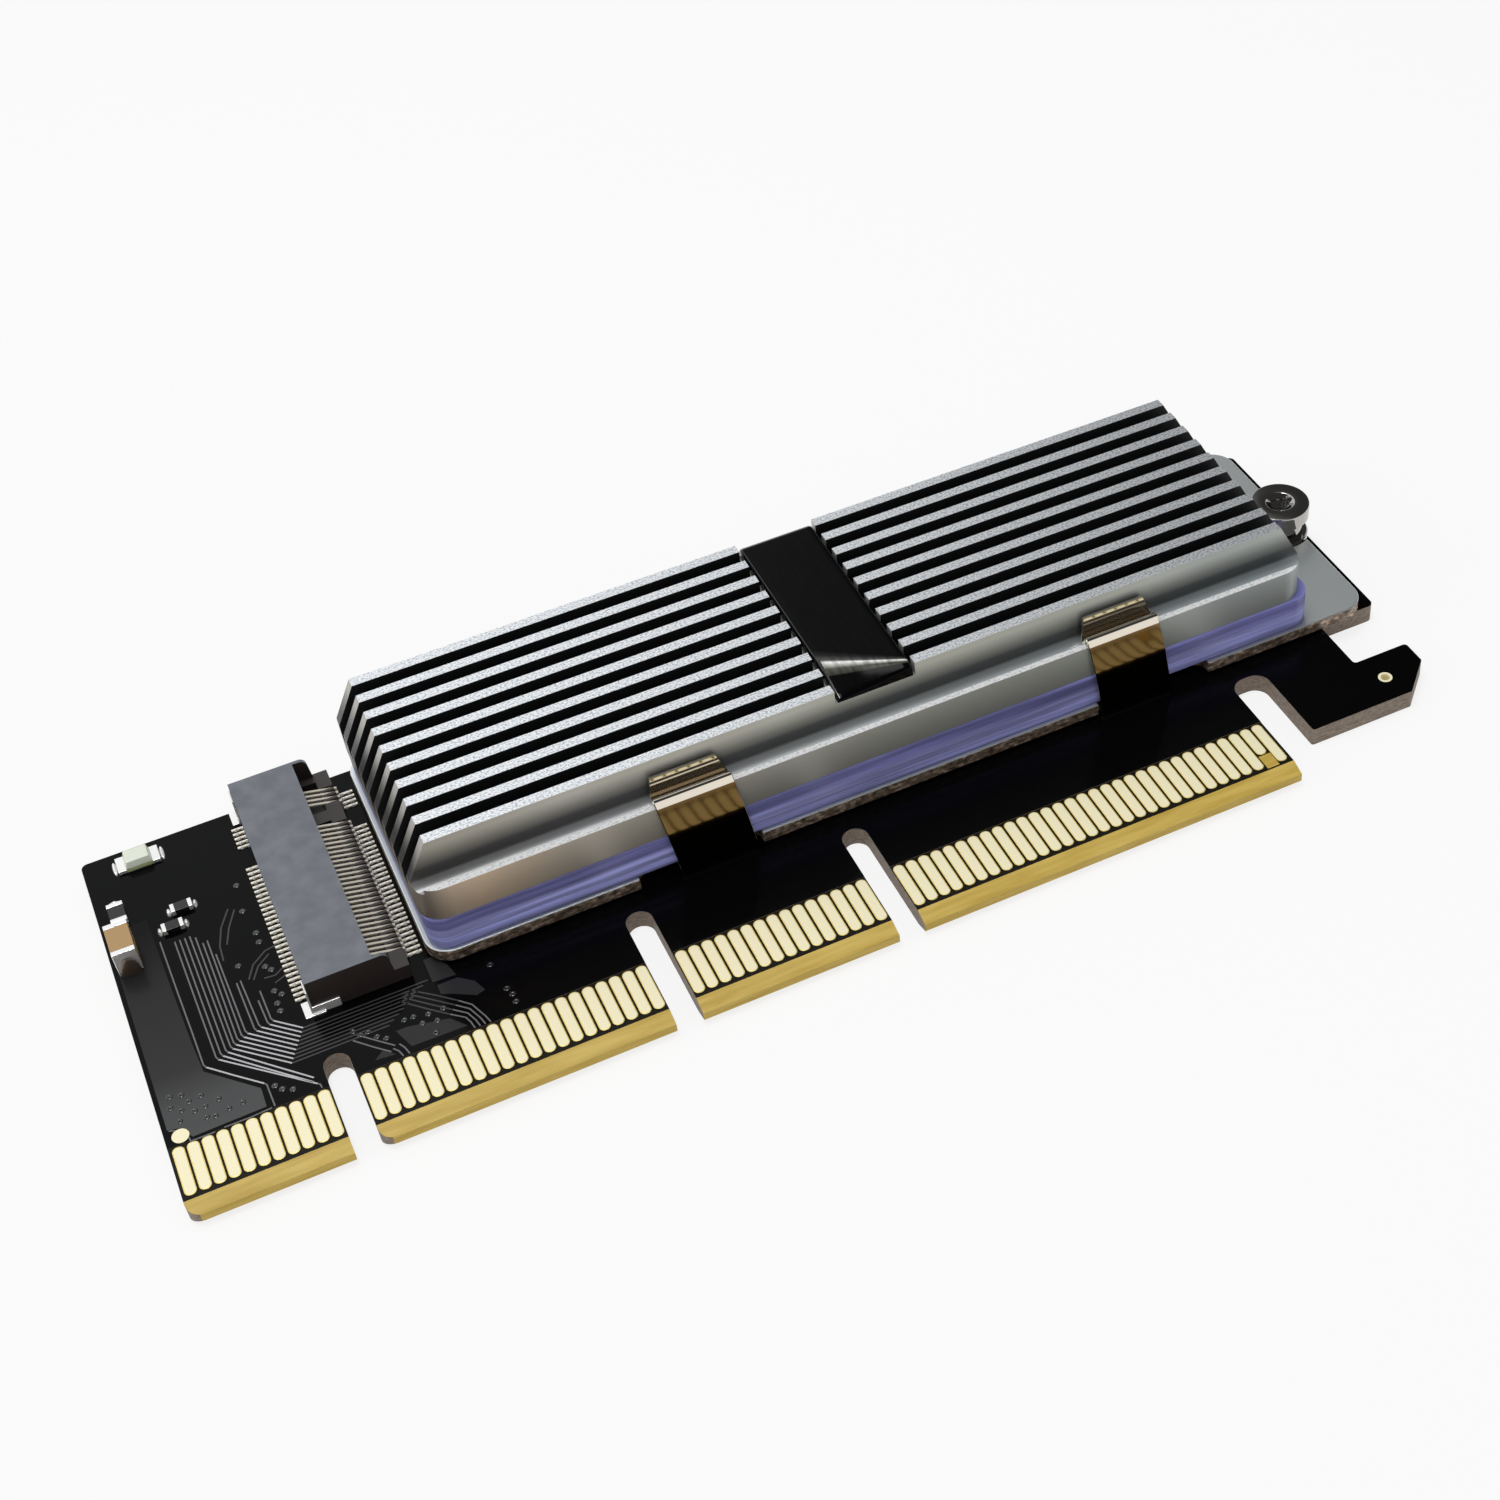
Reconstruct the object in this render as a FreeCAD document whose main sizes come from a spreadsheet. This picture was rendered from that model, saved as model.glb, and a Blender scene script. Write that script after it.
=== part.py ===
"""Adapter card: an M.2 socket and a clipped heatsink stack on a sixteen-lane edge card.

Frame: X runs along the edge contacts, Y from the contact edge to the far edge, Z up.
The origin is the middle of the card's outline, on its underside. Millimetres.
"""
import FreeCAD, Part
import math
import os
import re
import Sketcher

SIZES = {
    # circuit board and its edge
    "board_length": 99.05,
    "board_width": 34.8,
    "board_thick": 1.6,
    "board_corner": 0.5,
    "key_offset": 12.15,
    "finger_span": 72.15,
    "key_slot_wide": 1.9,
    "key_slot_deep": 8.4,
    "gap_slot_wide": 2.0,
    "gap_slot_deep": 10.6,
    "bevel_long": 1.3,
    "bevel_deep": 0.45,
    "tongue_corner": 1.0,
    # retention hook beside the contacts
    "hook_gap": 2.95,
    "hook_gap_deep": 10.55,
    "hook_gap_corner": 1.2,
    "hook_start": 3.15,
    "hook_long": 11.4,
    "hook_chamfer": 2.6,
    "hook_top": 7.9,
    "neck_wide": 6.7,
    "shoulder": 12.95,
    "hook_corner": 0.3,
    "hook_tip": 0.2,
    "eyelet_from_hook": 7.9,
    "eyelet_from_edge": 5.45,
    "eyelet_wide": 1.1,
    "eyelet_hole": 0.7,
    # edge contacts
    "contact_pitch": 1.0,
    "contact_wide": 0.74,
    "contact_start": 1.5,
    "contact_long": 4.25,
    "contact_thick": 0.03,
    "window_deep": 0.04,
    "key_gap": 3.0,
    "short_contact_cut": 1.3,
    "mask_edge": 5.85,
    "test_pad_wide": 1.2,
    "test_pad_from_key": 11.08,
    "test_pad_from_edge": 6.55,
    # where the module's centre line and its socket lie
    "module_line": 23.5,
    "socket_from_key": -0.2,
    # socket housing
    "socket_long": 21.9,
    "socket_deep": 7.2,
    "socket_high": 3.15,
    "cap_deep": 4.9,
    "cap_floor": 2.45,
    "shoulder_deep": 5.9,
    "jaw_high": 1.25,
    "jaw_wall": 1.1,
    "mouth_long": 19.96,
    "cheek_wall": 0.3,
    "mouth_start": 1.9,
    "mouth_floor": 0.45,
    "key_rib": 1.2,
    "rear_recess": 0.5,
    "rear_slit": 0.35,
    "housing_round": 0.6,
    # socket contacts
    "spring_step": 0.25,
    "spring_wide": 0.2,
    "spring_thick": 0.14,
    "spring_slot": 0.28,
    "foot_front": 1.25,
    "foot_rear": 0.9,
    "spring_gap": 0.06,
    "hold_down_reach": 0.32,
    "hold_down_grip": 1.2,
    "hold_down_foot": 0.65,
    "hold_down_side": 2.0,
    "hold_down_thick": 0.15,
    "hold_down_high": 2.4,
    # spring clips
    "clip_thick": 0.25,
    "clip_wide": 6.0,
    "clip_bend": 0.5,
    "clip_clearance": 0.05,
    "clip_spacing": 34.55,
    "clip_offset": 0.62,
    "clip_lean": 0.15,
    "clip_arch": 0.45,
    "clip_bow": 0.2,
    "clip_lip_rise": 1.4,
    # base plate
    "plate_from_key": 8.5,
    "plate_long": 77.3,
    "plate_wide": 22.6,
    "plate_thick": 1.05,
    "plate_corner": 2.0,
    "recess_long": 9.6,
    "recess_gap": 0.35,
    "recess_deep": 1.25,
    "recess_corner": 0.8,
    "recess_overlap": 1.4,
    # thermal pads
    "pad_inset": 0.35,
    "pad_long": 71.9,
    "pad_wide": 22.0,
    "pad_corner": 1.6,
    "lower_pad_thick": 0.8,
    "upper_pad_thick": 2.1,
    # finned cover
    "cover_inset": 0.25,
    "cover_long": 71.4,
    "cover_wide": 21.8,
    "cover_high": 6.2,
    "cover_corner": 2.0,
    "rim_high": 2.95,
    "rim_wide": 0.5,
    "trough_wide": 1.05,
    "trough_floor": 2.45,
    "groove_floor": 1.8,
    "fin_count": 10,
    "fin_thick": 0.85,
    "end_slope": 1.7,
    "channel_long": 6.4,
    "channel_deep": 1.15,
    # label strip
    "label_long": 6.0,
    "label_bend": 0.9,
    # standoff
    "standoff_from_key": 84.5,
    "standoff_wide": 4.8,
    "standoff_high": 4.0,
    "standoff_flange": 1.2,
    "standoff_neck": 1.5,
    "standoff_neck_wide": 3.9,
    "standoff_shank": 3.1,
    "standoff_bore": 1.6,
    "standoff_mouth": 2.3,
    "shank_clearance": 0.05,
    "plate_clearance": 0.25,
    # small chip parts
    "led_long": 3.2,
    "led_wide": 1.6,
    "led_base": 0.3,
    "led_lens": 0.6,
    "led_lens_long": 2.0,
    "led_lens_taper": 0.15,
    "led_from_key": 8.1,
    "led_from_edge": 33.2,
    "capacitor_long": 3.2,
    "capacitor_wide": 1.7,
    "capacitor_high": 2.2,
    "capacitor_from_key": 10.9,
    "capacitor_from_edge": 24.1,
    "capacitor_share": 0.14,
    "resistor_long": 1.6,
    "resistor_wide": 0.85,
    "resistor_high": 0.45,
    "resistor_from_key": 6.25,
    "resistor_from_edge": 26.85,
    "resistor_step_across": 1.0,
    "resistor_step_along": 1.6,
    "side_resistor_long": 2.0,
    "side_resistor_wide": 1.2,
    "side_resistor_high": 0.5,
    "side_resistor_from_key": 10.65,
    "side_resistor_from_edge": 28.4,
    "terminal_share": 0.2,
    "solder_run": 0.35,
}

doc = FreeCAD.newDocument("AdapterCard")
sheet = doc.addObject("Spreadsheet::Sheet", "Sizes")
for row, (name, number) in enumerate(SIZES.items(), start=1):
    sheet.set(f"A{row}", name)
    sheet.set(f"B{row}", str(number))
    sheet.setAlias(f"B{row}", name)
doc.recompute()

finished = []


# ---------------------------------------------------------------- helpers
def size(name):
    """A driving size, as the spreadsheet holds it."""
    return float(sheet.get(name))


def bound(text):
    """Turn the names of sizes in a formula into references to the spreadsheet."""
    return re.sub(r"[a-z][a-z_]*", lambda word: "Sizes." + word.group(0) if word.group(0) in SIZES
                  else word.group(0), text)


def bind(item, **formulas):
    """Bind properties of an object to formulas of driving sizes."""
    for prop, text in formulas.items():
        item.setExpression(prop, bound(text))
    return item


def place(item, across="0", along="0", up="0"):
    """Bind an object's position to formulas of driving sizes."""
    item.setExpression(".Placement.Base.x", bound(across))
    item.setExpression(".Placement.Base.y", bound(along))
    item.setExpression(".Placement.Base.z", bound(up))
    return item


def finish(item, label):
    """Name a finished sub-part and keep it for export."""
    item.Label = label
    finished.append(item)
    return item


def origin_item(body, role):
    return next(item for item in body.Origin.OriginFeatures if item.Role == role)


def outline(body, name, role, points):
    """A closed sketch of straight lines whose every corner is bound to formulas."""
    sketch = body.newObject("Sketcher::SketchObject", name)
    sketch.AttachmentSupport = [(origin_item(body, role), "")]
    sketch.MapMode = "FlatFace"
    count = len(points)
    start = [FreeCAD.Vector(i, (i * i) % 7, 0) for i in range(count)]
    sketch.addGeometry([Part.LineSegment(start[i], start[(i + 1) % count]) for i in range(count)])
    for i in range(count):
        sketch.addConstraint(Sketcher.Constraint("Coincident", i, 2, (i + 1) % count, 1))
    for i, (first, second) in enumerate(points):
        for kind, text, value in (("DistanceX", first, start[i].x), ("DistanceY", second, start[i].y)):
            index = sketch.addConstraint(Sketcher.Constraint(kind, -1, 1, i, 1, value))
            sketch.setExpression(f"Constraints[{index}]", bound(text))
    return sketch


def rectangle(low_x, low_y, high_x, high_y):
    return [(low_x, low_y), (high_x, low_y), (high_x, high_y), (low_x, high_y)]


def pad(body, sketch, length, both_ways=False):
    feature = body.newObject("PartDesign::Pad", sketch.Name + "_pad")
    feature.Profile = sketch
    feature.Midplane = both_ways
    bind(feature, Length=length)
    doc.recompute()
    return feature


def cut_through(body, sketch):
    """Cut a sketched outline away on both sides of its plane, checking that it bites."""
    before = body.Shape.Volume
    feature = body.newObject("PartDesign::Pocket", sketch.Name + "_cut")
    feature.Profile = sketch
    feature.Midplane = True
    feature.Type = "Length"
    feature.Length = 400
    doc.recompute()
    if not body.Shape.Volume < before:
        raise RuntimeError(sketch.Name + " cuts nothing")
    return feature


def cut_box(body, name, low, extent):
    """Subtract a box whose corner and extents are formulas."""
    feature = body.newObject("PartDesign::SubtractiveBox", name)
    bind(feature, Length=extent[0], Width=extent[1], Height=extent[2])
    place(feature, *low)
    doc.recompute()
    return feature


def cut_cylinder(body, name, centre, radius, height):
    """Subtract an upright cylinder whose base centre, radius and height are formulas."""
    feature = body.newObject("PartDesign::SubtractiveCylinder", name)
    bind(feature, Radius=radius, Height=height)
    place(feature, *centre)
    doc.recompute()
    return feature


def round_edges(body, name, radius, chosen):
    """Fillet those straight edges of a body that the given test picks."""
    tip = body.Tip
    names = []
    for index, edge in enumerate(tip.Shape.Edges, start=1):
        if edge.Curve.TypeId == "Part::GeomLine" and chosen(edge):
            names.append(f"Edge{index}")
    feature = body.newObject("PartDesign::Fillet", name)
    feature.Base = (tip, names)
    bind(feature, Radius=radius)
    doc.recompute()
    return feature


def upright(edge):
    run = edge.Vertexes[0].Point - edge.Vertexes[-1].Point
    return abs(run.z) > 1e-6 and abs(run.x) < 1e-6 and abs(run.y) < 1e-6


def near(edge, x, y, reach=0.05):
    middle = edge.CenterOfMass
    return abs(middle.x - x) < reach and abs(middle.y - y) < reach


def box(name, low, extent):
    feature = doc.addObject("Part::Box", name)
    bind(feature, Length=extent[0], Width=extent[1], Height=extent[2])
    return place(feature, *low)


def joined(name, items):
    feature = doc.addObject("Part::MultiFuse", name)
    feature.Shapes = items
    return feature


def strip_outline(points, thickness):
    """The closed outline of a bent strip of sheet, from the points of its middle line."""
    count = len(points)
    sides = []
    for i in range(count):
        before = points[max(i - 1, 0)]
        after = points[min(i + 1, count - 1)]
        here = points[i]
        runs = [(here[0] - before[0], here[1] - before[1]), (after[0] - here[0], after[1] - here[1])]
        normals = [(-run[1] / math.hypot(*run), run[0] / math.hypot(*run)) for run in runs if run != (0, 0)]
        mitre = (sum(n[0] for n in normals), sum(n[1] for n in normals))
        long = math.hypot(*mitre)
        mitre = (mitre[0] / long, mitre[1] / long)
        reach = thickness / 2 / (mitre[0] * normals[0][0] + mitre[1] * normals[0][1])
        sides.append((here, (mitre[0] * reach, mitre[1] * reach)))
    left = [(here[0] + side[0], here[1] + side[1]) for here, side in sides]
    right = [(here[0] - side[0], here[1] - side[1]) for here, side in reversed(sides)]
    return left + right


def strip_along_x(points, thickness, width):
    """A bent strip drawn in X and Z, as wide as given along Y and centred on Y = 0."""
    corners = [FreeCAD.Vector(x, -width / 2, z) for x, z in strip_outline(points, thickness)]
    face = Part.Face(Part.makePolygon(corners + corners[:1]))
    return face.extrude(FreeCAD.Vector(0, width, 0))


def repeated(shape, places):
    copies = []
    for spot in places:
        copy = shape.copy()
        copy.translate(FreeCAD.Vector(*spot))
        copies.append(copy)
    return Part.makeCompound(copies)


# ---------------------------------------------------------------- shared places
LEFT = "-board_length / 2"
EDGE = "-board_width / 2"
KEY = LEFT + " + key_offset"
MIDDLE = EDGE + " + module_line"
TOP = "board_thick"
STACK = TOP + " + clip_thick"
PLATE_TOP = STACK + " + plate_thick"
COVER_LOW = PLATE_TOP + " + lower_pad_thick + upper_pad_thick"

FINGER_GROUPS = ((1, 11), (12, 32), (35, 49), (52, 82))
SHORT_FINGER = 81
LOWER_SPRINGS = [pin for pin in range(2, 75, 2) if pin not in range(59, 67)]
UPPER_SPRINGS = [pin for pin in range(1, 76, 2) if pin not in range(59, 67)]
MIDDLE_PIN = 38
KEY_PIN = 62.5


def finger_across(pin):
    """Distance of an edge contact's centre line from the key slot's centre."""
    side = size("key_gap") / 2
    if pin <= 11:
        return -side - (11 - pin) * size("contact_pitch")
    return side + (pin - 12) * size("contact_pitch")


def spring_along(pin):
    """Distance of a socket contact's centre line from the module's centre line."""
    return (pin - MIDDLE_PIN) * size("spring_step")


# ---------------------------------------------------------------- circuit board
def circuit_board():
    body = doc.addObject("PartDesign::Body", "Board")
    tongue_end = "key_offset + finger_span"
    hook_side = tongue_end + " + hook_gap"
    hook_end = hook_side + " + hook_long"
    neck_side = hook_side + " + neck_wide"
    corners = [
        ("0", "0"),
        (tongue_end, "0"),
        (tongue_end, "hook_gap_deep"),
        (hook_side, "hook_gap_deep"),
        (hook_side, "hook_start"),
        (hook_end + " - hook_chamfer", "hook_start"),
        (hook_end, "hook_start + hook_chamfer"),
        (hook_end, "hook_top"),
        (neck_side, "hook_top"),
        (neck_side, "shoulder"),
        ("board_length", "shoulder"),
        ("board_length", "board_width"),
        ("0", "board_width"),
    ]
    pad(body, outline(body, "BoardOutline", "XY_Plane", corners), "board_thick")
    cut_edge_slots(body)
    round_board(body)
    bevel_edge(body)
    open_contact_windows(body)
    drill_board(body)
    place(body, LEFT, EDGE)
    return finish(body, "circuit_board")


def slot_centres():
    """Formulas for the three edge slots: centre across the card, width and depth."""
    yield "key_offset", "key_slot_wide", "key_slot_deep"
    for last_before, first_after in ((32, 35), (49, 52)):
        steps = (last_before + first_after) / 2 - 12
        yield f"key_offset + key_gap / 2 + {steps} * contact_pitch", "gap_slot_wide", "gap_slot_deep"


def cut_edge_slots(body):
    for number, (centre, wide, deep) in enumerate(slot_centres(), start=1):
        low = (f"{centre} - {wide} / 2", "-1", "-1")
        cut_box(body, f"SlotRun{number}", low, (wide, f"{deep} - {wide} / 2 + 1", "board_thick + 2"))
        middle = (centre, f"{deep} - {wide} / 2", "-1")
        cut_cylinder(body, f"SlotEnd{number}", middle, f"{wide} / 2", "board_thick + 2")


def round_board(body):
    tongue_end = size("key_offset") + size("finger_span")
    hook_side = tongue_end + size("hook_gap")
    neck_side = hook_side + size("neck_wide")
    gap_top = size("hook_gap_deep")
    ends = [(tongue_end, gap_top), (hook_side, gap_top)]
    round_edges(body, "HookGapRound", "hook_gap_corner",
                lambda edge: upright(edge) and any(near(edge, *spot) for spot in ends))
    corners = [(neck_side, size("hook_top")), (neck_side, size("shoulder")),
               (hook_side + size("hook_long"), size("hook_top"))]
    round_edges(body, "HookRound", "hook_corner",
                lambda edge: upright(edge) and any(near(edge, *spot) for spot in corners))
    round_edges(body, "HookTipRound", "hook_tip",
                lambda edge: upright(edge) and near(edge, hook_side, size("hook_start")))
    far = [(0, size("board_width")), (size("board_length"), size("board_width")),
           (size("board_length"), size("shoulder"))]
    round_edges(body, "BoardRound", "board_corner",
                lambda edge: upright(edge) and any(near(edge, *spot) for spot in far))
    key_side = size("key_offset") + size("key_slot_wide") / 2
    lead = [(0, 0), (key_side, 0)]
    round_edges(body, "TongueRound", "tongue_corner",
                lambda edge: upright(edge) and any(near(edge, *spot) for spot in lead))


def bevel_edge(body):
    """The lead-in bevels on both sides of the contact edge."""
    upper = [("-1", "board_thick + 1"), ("bevel_long", "board_thick + 1"), ("bevel_long", "board_thick"),
             ("0", "board_thick - bevel_deep"), ("-1", "board_thick - bevel_deep")]
    lower = [("-1", "-1"), ("-1", "bevel_deep"), ("0", "bevel_deep"),
             ("bevel_long", "0"), ("bevel_long", "-1")]
    cut_through(body, outline(body, "UpperBevel", "YZ_Plane", upper))
    cut_through(body, outline(body, "LowerBevel", "YZ_Plane", lower))


def open_contact_windows(body):
    """The shallow openings in the lacquer that the contacts lie in."""
    span = ("key_offset + finger_span + 2", "mask_edge + 1", "window_deep")
    cut_box(body, "UpperWindow", ("-1", "-1", "board_thick - window_deep"), span)
    cut_box(body, "LowerWindow", ("-1", "-1", "0"), span)


def drill_board(body):
    hole = ("key_offset + finger_span + hook_gap + eyelet_from_hook", "eyelet_from_edge", "-1")
    cut_cylinder(body, "EyeletHole", hole, "eyelet_wide / 2", "board_thick + 2")
    hole = ("key_offset + standoff_from_key", "module_line", "-1")
    cut_cylinder(body, "StandoffHole", hole, "standoff_shank / 2 + shank_clearance", "board_thick + 2")


# ---------------------------------------------------------------- edge contacts
def finger_shape(length):
    """One gold contact, its lower edge centred on the origin."""
    wide = size("contact_wide")
    return Part.makeBox(wide, length, size("contact_thick"), FreeCAD.Vector(-wide / 2, 0, 0))


def edge_contacts(name, up):
    pins = [pin for first, last in FINGER_GROUPS for pin in range(first, last + 1)]
    full = [(finger_across(pin), 0, 0) for pin in pins if pin != SHORT_FINGER]
    short = [(finger_across(SHORT_FINGER), size("short_contact_cut"), 0)]
    long_row = repeated(finger_shape(size("contact_long")), full)
    short_row = repeated(finger_shape(size("contact_long") - size("short_contact_cut")), short)
    row = doc.addObject("Part::Feature", name.title().replace("_", ""))
    row.Shape = Part.makeCompound(long_row.Solids + short_row.Solids)
    place(row, KEY, EDGE + " + contact_start", up)
    return finish(row, name)


def corner_test_pad():
    disc = doc.addObject("Part::Cylinder", "TestPad")
    bind(disc, Radius="test_pad_wide / 2", Height="contact_thick")
    place(disc, KEY + " - test_pad_from_key", EDGE + " + test_pad_from_edge", TOP)
    return finish(disc, "corner_test_pad")


def hook_eyelet():
    barrel = doc.addObject("Part::Cylinder", "EyeletBarrel")
    bind(barrel, Radius="eyelet_wide / 2", Height="board_thick")
    hole = doc.addObject("Part::Cylinder", "EyeletHole")
    bind(hole, Radius="eyelet_hole / 2", Height="board_thick")
    sleeve = doc.addObject("Part::Cut", "Eyelet")
    sleeve.Base = barrel
    sleeve.Tool = hole
    place(sleeve, KEY + " + finger_span + hook_gap + eyelet_from_hook", EDGE + " + eyelet_from_edge")
    return finish(sleeve, "hook_eyelet")


# ---------------------------------------------------------------- module socket
def socket_body():
    """The moulded housing before its contact slots are cut."""
    body = doc.addObject("PartDesign::Body", "SocketBody")
    side = [
        ("0", "0"),
        ("socket_deep", "0"),
        ("socket_deep", "jaw_high"),
        ("socket_deep - jaw_wall", "jaw_high"),
        ("shoulder_deep", "socket_high"),
        ("0", "socket_high"),
    ]
    pad(body, outline(body, "SocketSide", "XZ_Plane", side), "socket_long", both_ways=True)
    round_edges(body, "SocketRound", "housing_round",
                lambda edge: abs(edge.CenterOfMass.z - size("socket_high")) < 0.01
                and abs(edge.CenterOfMass.x - size("shoulder_deep")) < 0.01)
    low = ("mouth_start", "-mouth_long / 2", "mouth_floor")
    run = "socket_deep - jaw_wall - mouth_start"
    cut_box(body, "Mouth", low, (run, "mouth_long", "cap_floor - mouth_floor"))
    low = ("cap_deep", "-socket_long / 2 + cheek_wall", "jaw_high")
    cut_box(body, "MouthTop", low, ("socket_deep", "socket_long - 2 * cheek_wall", "socket_high"))
    rib = body.newObject("PartDesign::AdditiveBox", "KeyRib")
    bind(rib, Length="socket_deep - mouth_start", Width="key_rib", Height="jaw_high - 0.01")
    place(rib, "mouth_start", f"({KEY_PIN} - {MIDDLE_PIN}) * spring_step - key_rib / 2", "0")
    tooth = body.newObject("PartDesign::AdditiveBox", "KeyTooth")
    bind(tooth, Length="cap_deep - mouth_start", Width="key_rib", Height="cap_floor - 0.2")
    place(tooth, "mouth_start", f"({KEY_PIN} - {MIDDLE_PIN}) * spring_step - key_rib / 2", "0.2")
    doc.recompute()
    open_rear(body)
    return body


def open_rear(body):
    """The recesses and slits behind each group of upper contacts."""
    for number, (first, last) in enumerate(((1, 57), (67, 75)), start=1):
        low = f"({first} - {MIDDLE_PIN} - 1) * spring_step"
        along = f"({last} - {first} + 2) * spring_step"
        cut_box(body, f"RearRecess{number}", ("-1", low, "-1"), ("rear_recess + 1", along, "cap_floor + 1"))
        cut_box(body, f"RearSlit{number}", ("-1", low, "cap_floor - rear_slit"),
                ("mouth_start + 1.1", along, "rear_slit"))


def socket_slots():
    """The comb of slots in the front jaw, as one cutting tool."""
    wide = size("spring_slot")
    low = FreeCAD.Vector(size("socket_deep") - size("jaw_wall") - 0.1, -wide / 2, size("mouth_floor") - 0.1)
    slot = Part.makeBox(size("jaw_wall") + 0.2, wide, size("jaw_high"), low)
    tool = doc.addObject("Part::Feature", "SocketSlots")
    tool.Shape = repeated(slot, [(0, spring_along(pin), 0) for pin in LOWER_SPRINGS])
    return tool


def socket_place(item):
    return place(item, KEY + " + socket_from_key", MIDDLE, TOP)


def socket_housing():
    housing = doc.addObject("Part::Cut", "SocketHousing")
    housing.Base = socket_body()
    housing.Tool = socket_slots()
    return finish(socket_place(housing), "socket_housing")


def socket_lower_contacts():
    """Springs of the lower row: foot in front, beam rising into the mouth."""
    half = size("spring_thick") / 2
    riser = size("socket_deep") + size("spring_gap") + half
    route = [
        (size("socket_deep") + size("foot_front"), half),
        (riser, half),
        (riser, size("jaw_high") - 0.35),
        (size("cap_deep") - 0.1, size("jaw_high") + 0.3),
        (size("cap_deep") - 0.7, size("jaw_high") + 0.05),
    ]
    spring = strip_along_x(route, size("spring_thick"), size("spring_wide"))
    row = doc.addObject("Part::Feature", "LowerSprings")
    row.Shape = repeated(spring, [(0, spring_along(pin), 0) for pin in LOWER_SPRINGS])
    return finish(socket_place(row), "socket_lower_contacts")


def socket_upper_contacts():
    """Springs of the upper row: foot behind, leg up the rear, beam under the cap."""
    half = size("spring_thick") / 2
    leg = size("rear_recess") / 2
    under = size("cap_floor") - size("spring_gap") - half
    route = [
        (-size("foot_rear"), half),
        (leg, half),
        (leg, under),
        (size("cap_deep") - 1.9, under),
        (size("cap_deep") - 0.7, under - 0.35),
    ]
    spring = strip_along_x(route, size("spring_thick"), size("spring_wide"))
    row = doc.addObject("Part::Feature", "UpperSprings")
    row.Shape = repeated(spring, [(0, spring_along(pin), 0) for pin in UPPER_SPRINGS])
    return finish(socket_place(row), "socket_upper_contacts")


def socket_hold_down(name, sign):
    """A soldered tab round one rear corner of the housing: a foot, a rear plate and a side plate."""
    title = name.title().replace("_", "")
    rear = KEY + " + socket_from_key"
    end = f"{MIDDLE} + {sign} * socket_long / 2"
    inward = f"{end} - {sign} * hold_down_grip"

    def flap(what, low_x, ends, extent):
        """A flat flap between two formulas along Y, whichever of them is the lower."""
        low, length = (ends[0], ends[1]) if sign > 0 else (ends[2], ends[1])
        return box(title + what, (low_x, low, TOP), (extent[0], length, extent[1]))

    foot = flap("Foot", rear + " - hold_down_foot",
                (inward, "hold_down_grip + hold_down_reach", f"{end} - hold_down_reach"),
                ("hold_down_foot", "hold_down_thick"))
    plate = flap("Rear", rear + " - hold_down_thick",
                 (inward, "hold_down_grip + hold_down_thick", f"{end} - hold_down_thick"),
                 ("hold_down_thick", "hold_down_high"))
    side = flap("Side", rear + " - hold_down_thick", (end, "hold_down_thick", f"{end} - hold_down_thick"),
                ("hold_down_side + hold_down_thick", "hold_down_high / 3"))
    ear = flap("Ear", rear + " - hold_down_thick", (end, "hold_down_reach", f"{end} - hold_down_reach"),
               ("hold_down_side / 2", "hold_down_thick"))
    return finish(joined(title, [foot, plate, side, ear]), name)


# ---------------------------------------------------------------- heatsink stack
def clip_centre(sign):
    return f"{KEY} + plate_from_key + plate_long / 2 + clip_offset {sign} clip_spacing / 2"


def clip_side(bow):
    """Half of a clip's middle line as distances from the stack's centre and heights, lip first."""
    thick = size("clip_thick")
    leg = size("pad_wide") / 2 + size("clip_clearance") + thick / 2
    cover = size("plate_thick") + size("lower_pad_thick") + size("upper_pad_thick") + thick
    trough = size("cover_wide") / 2 - size("rim_wide") - size("trough_wide") / 2
    valley = cover + size("trough_floor") + size("clip_clearance") + thick
    crest = cover + size("rim_high") + size("clip_arch") + size("clip_clearance") + thick / 2
    return [
        (trough - 0.1, crest + size("clip_lip_rise")),
        (trough - 0.06, valley + 0.25),
        (trough + 0.04, valley + 0.04),
        (trough + 0.2, valley),
        (trough + 0.36, valley + 0.16),
        (trough + 0.7, crest),
        (leg - 0.1, crest + 0.15),
        (leg + bow, crest - 0.2),
        (leg + bow, crest - 0.75),
        (leg, crest - 2.2),
        (leg, thick / 2),
    ]


def spring_clip(name, sign):
    """A C of sheet spring: a web under the plate, two legs, and lips that hook into the cover's troughs."""
    thick = size("clip_thick")
    near_side = clip_side(size("clip_bow"))
    far_side = clip_side(0)
    leg, high = far_side[-1][0], far_side[0][1] + 1
    flat = strip_outline([(-y, z) for y, z in near_side] + list(reversed(far_side)), thick)
    corners = [FreeCAD.Vector(-size("clip_wide"), y, z) for y, z in flat]
    face = Part.Face(Part.makePolygon(corners + corners[:1]))
    blank = face.extrude(FreeCAD.Vector(2 * size("clip_wide"), 0, 0))
    feature = doc.addObject("Part::Feature", name.title().replace("_", ""))
    feature.Shape = round_bends(blank.common(leaning_sides(high)), leg, thick)
    place(feature, clip_centre(sign), MIDDLE, TOP)
    return finish(feature, name)


def leaning_sides(high):
    """The slanted block that a clip's two cut sides follow: its legs lean along X as they rise."""
    half = size("clip_wide") / 2
    lean = size("clip_lean")
    reach = size("plate_wide")
    corners = []
    for x, z in ((-half, -1), (half, -1), (half, high), (-half, high)):
        corners.append(FreeCAD.Vector(x - lean * z, -reach, z))
    face = Part.Face(Part.makePolygon(corners + corners[:1]))
    return face.extrude(FreeCAD.Vector(0, 2 * reach, 0))


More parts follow.
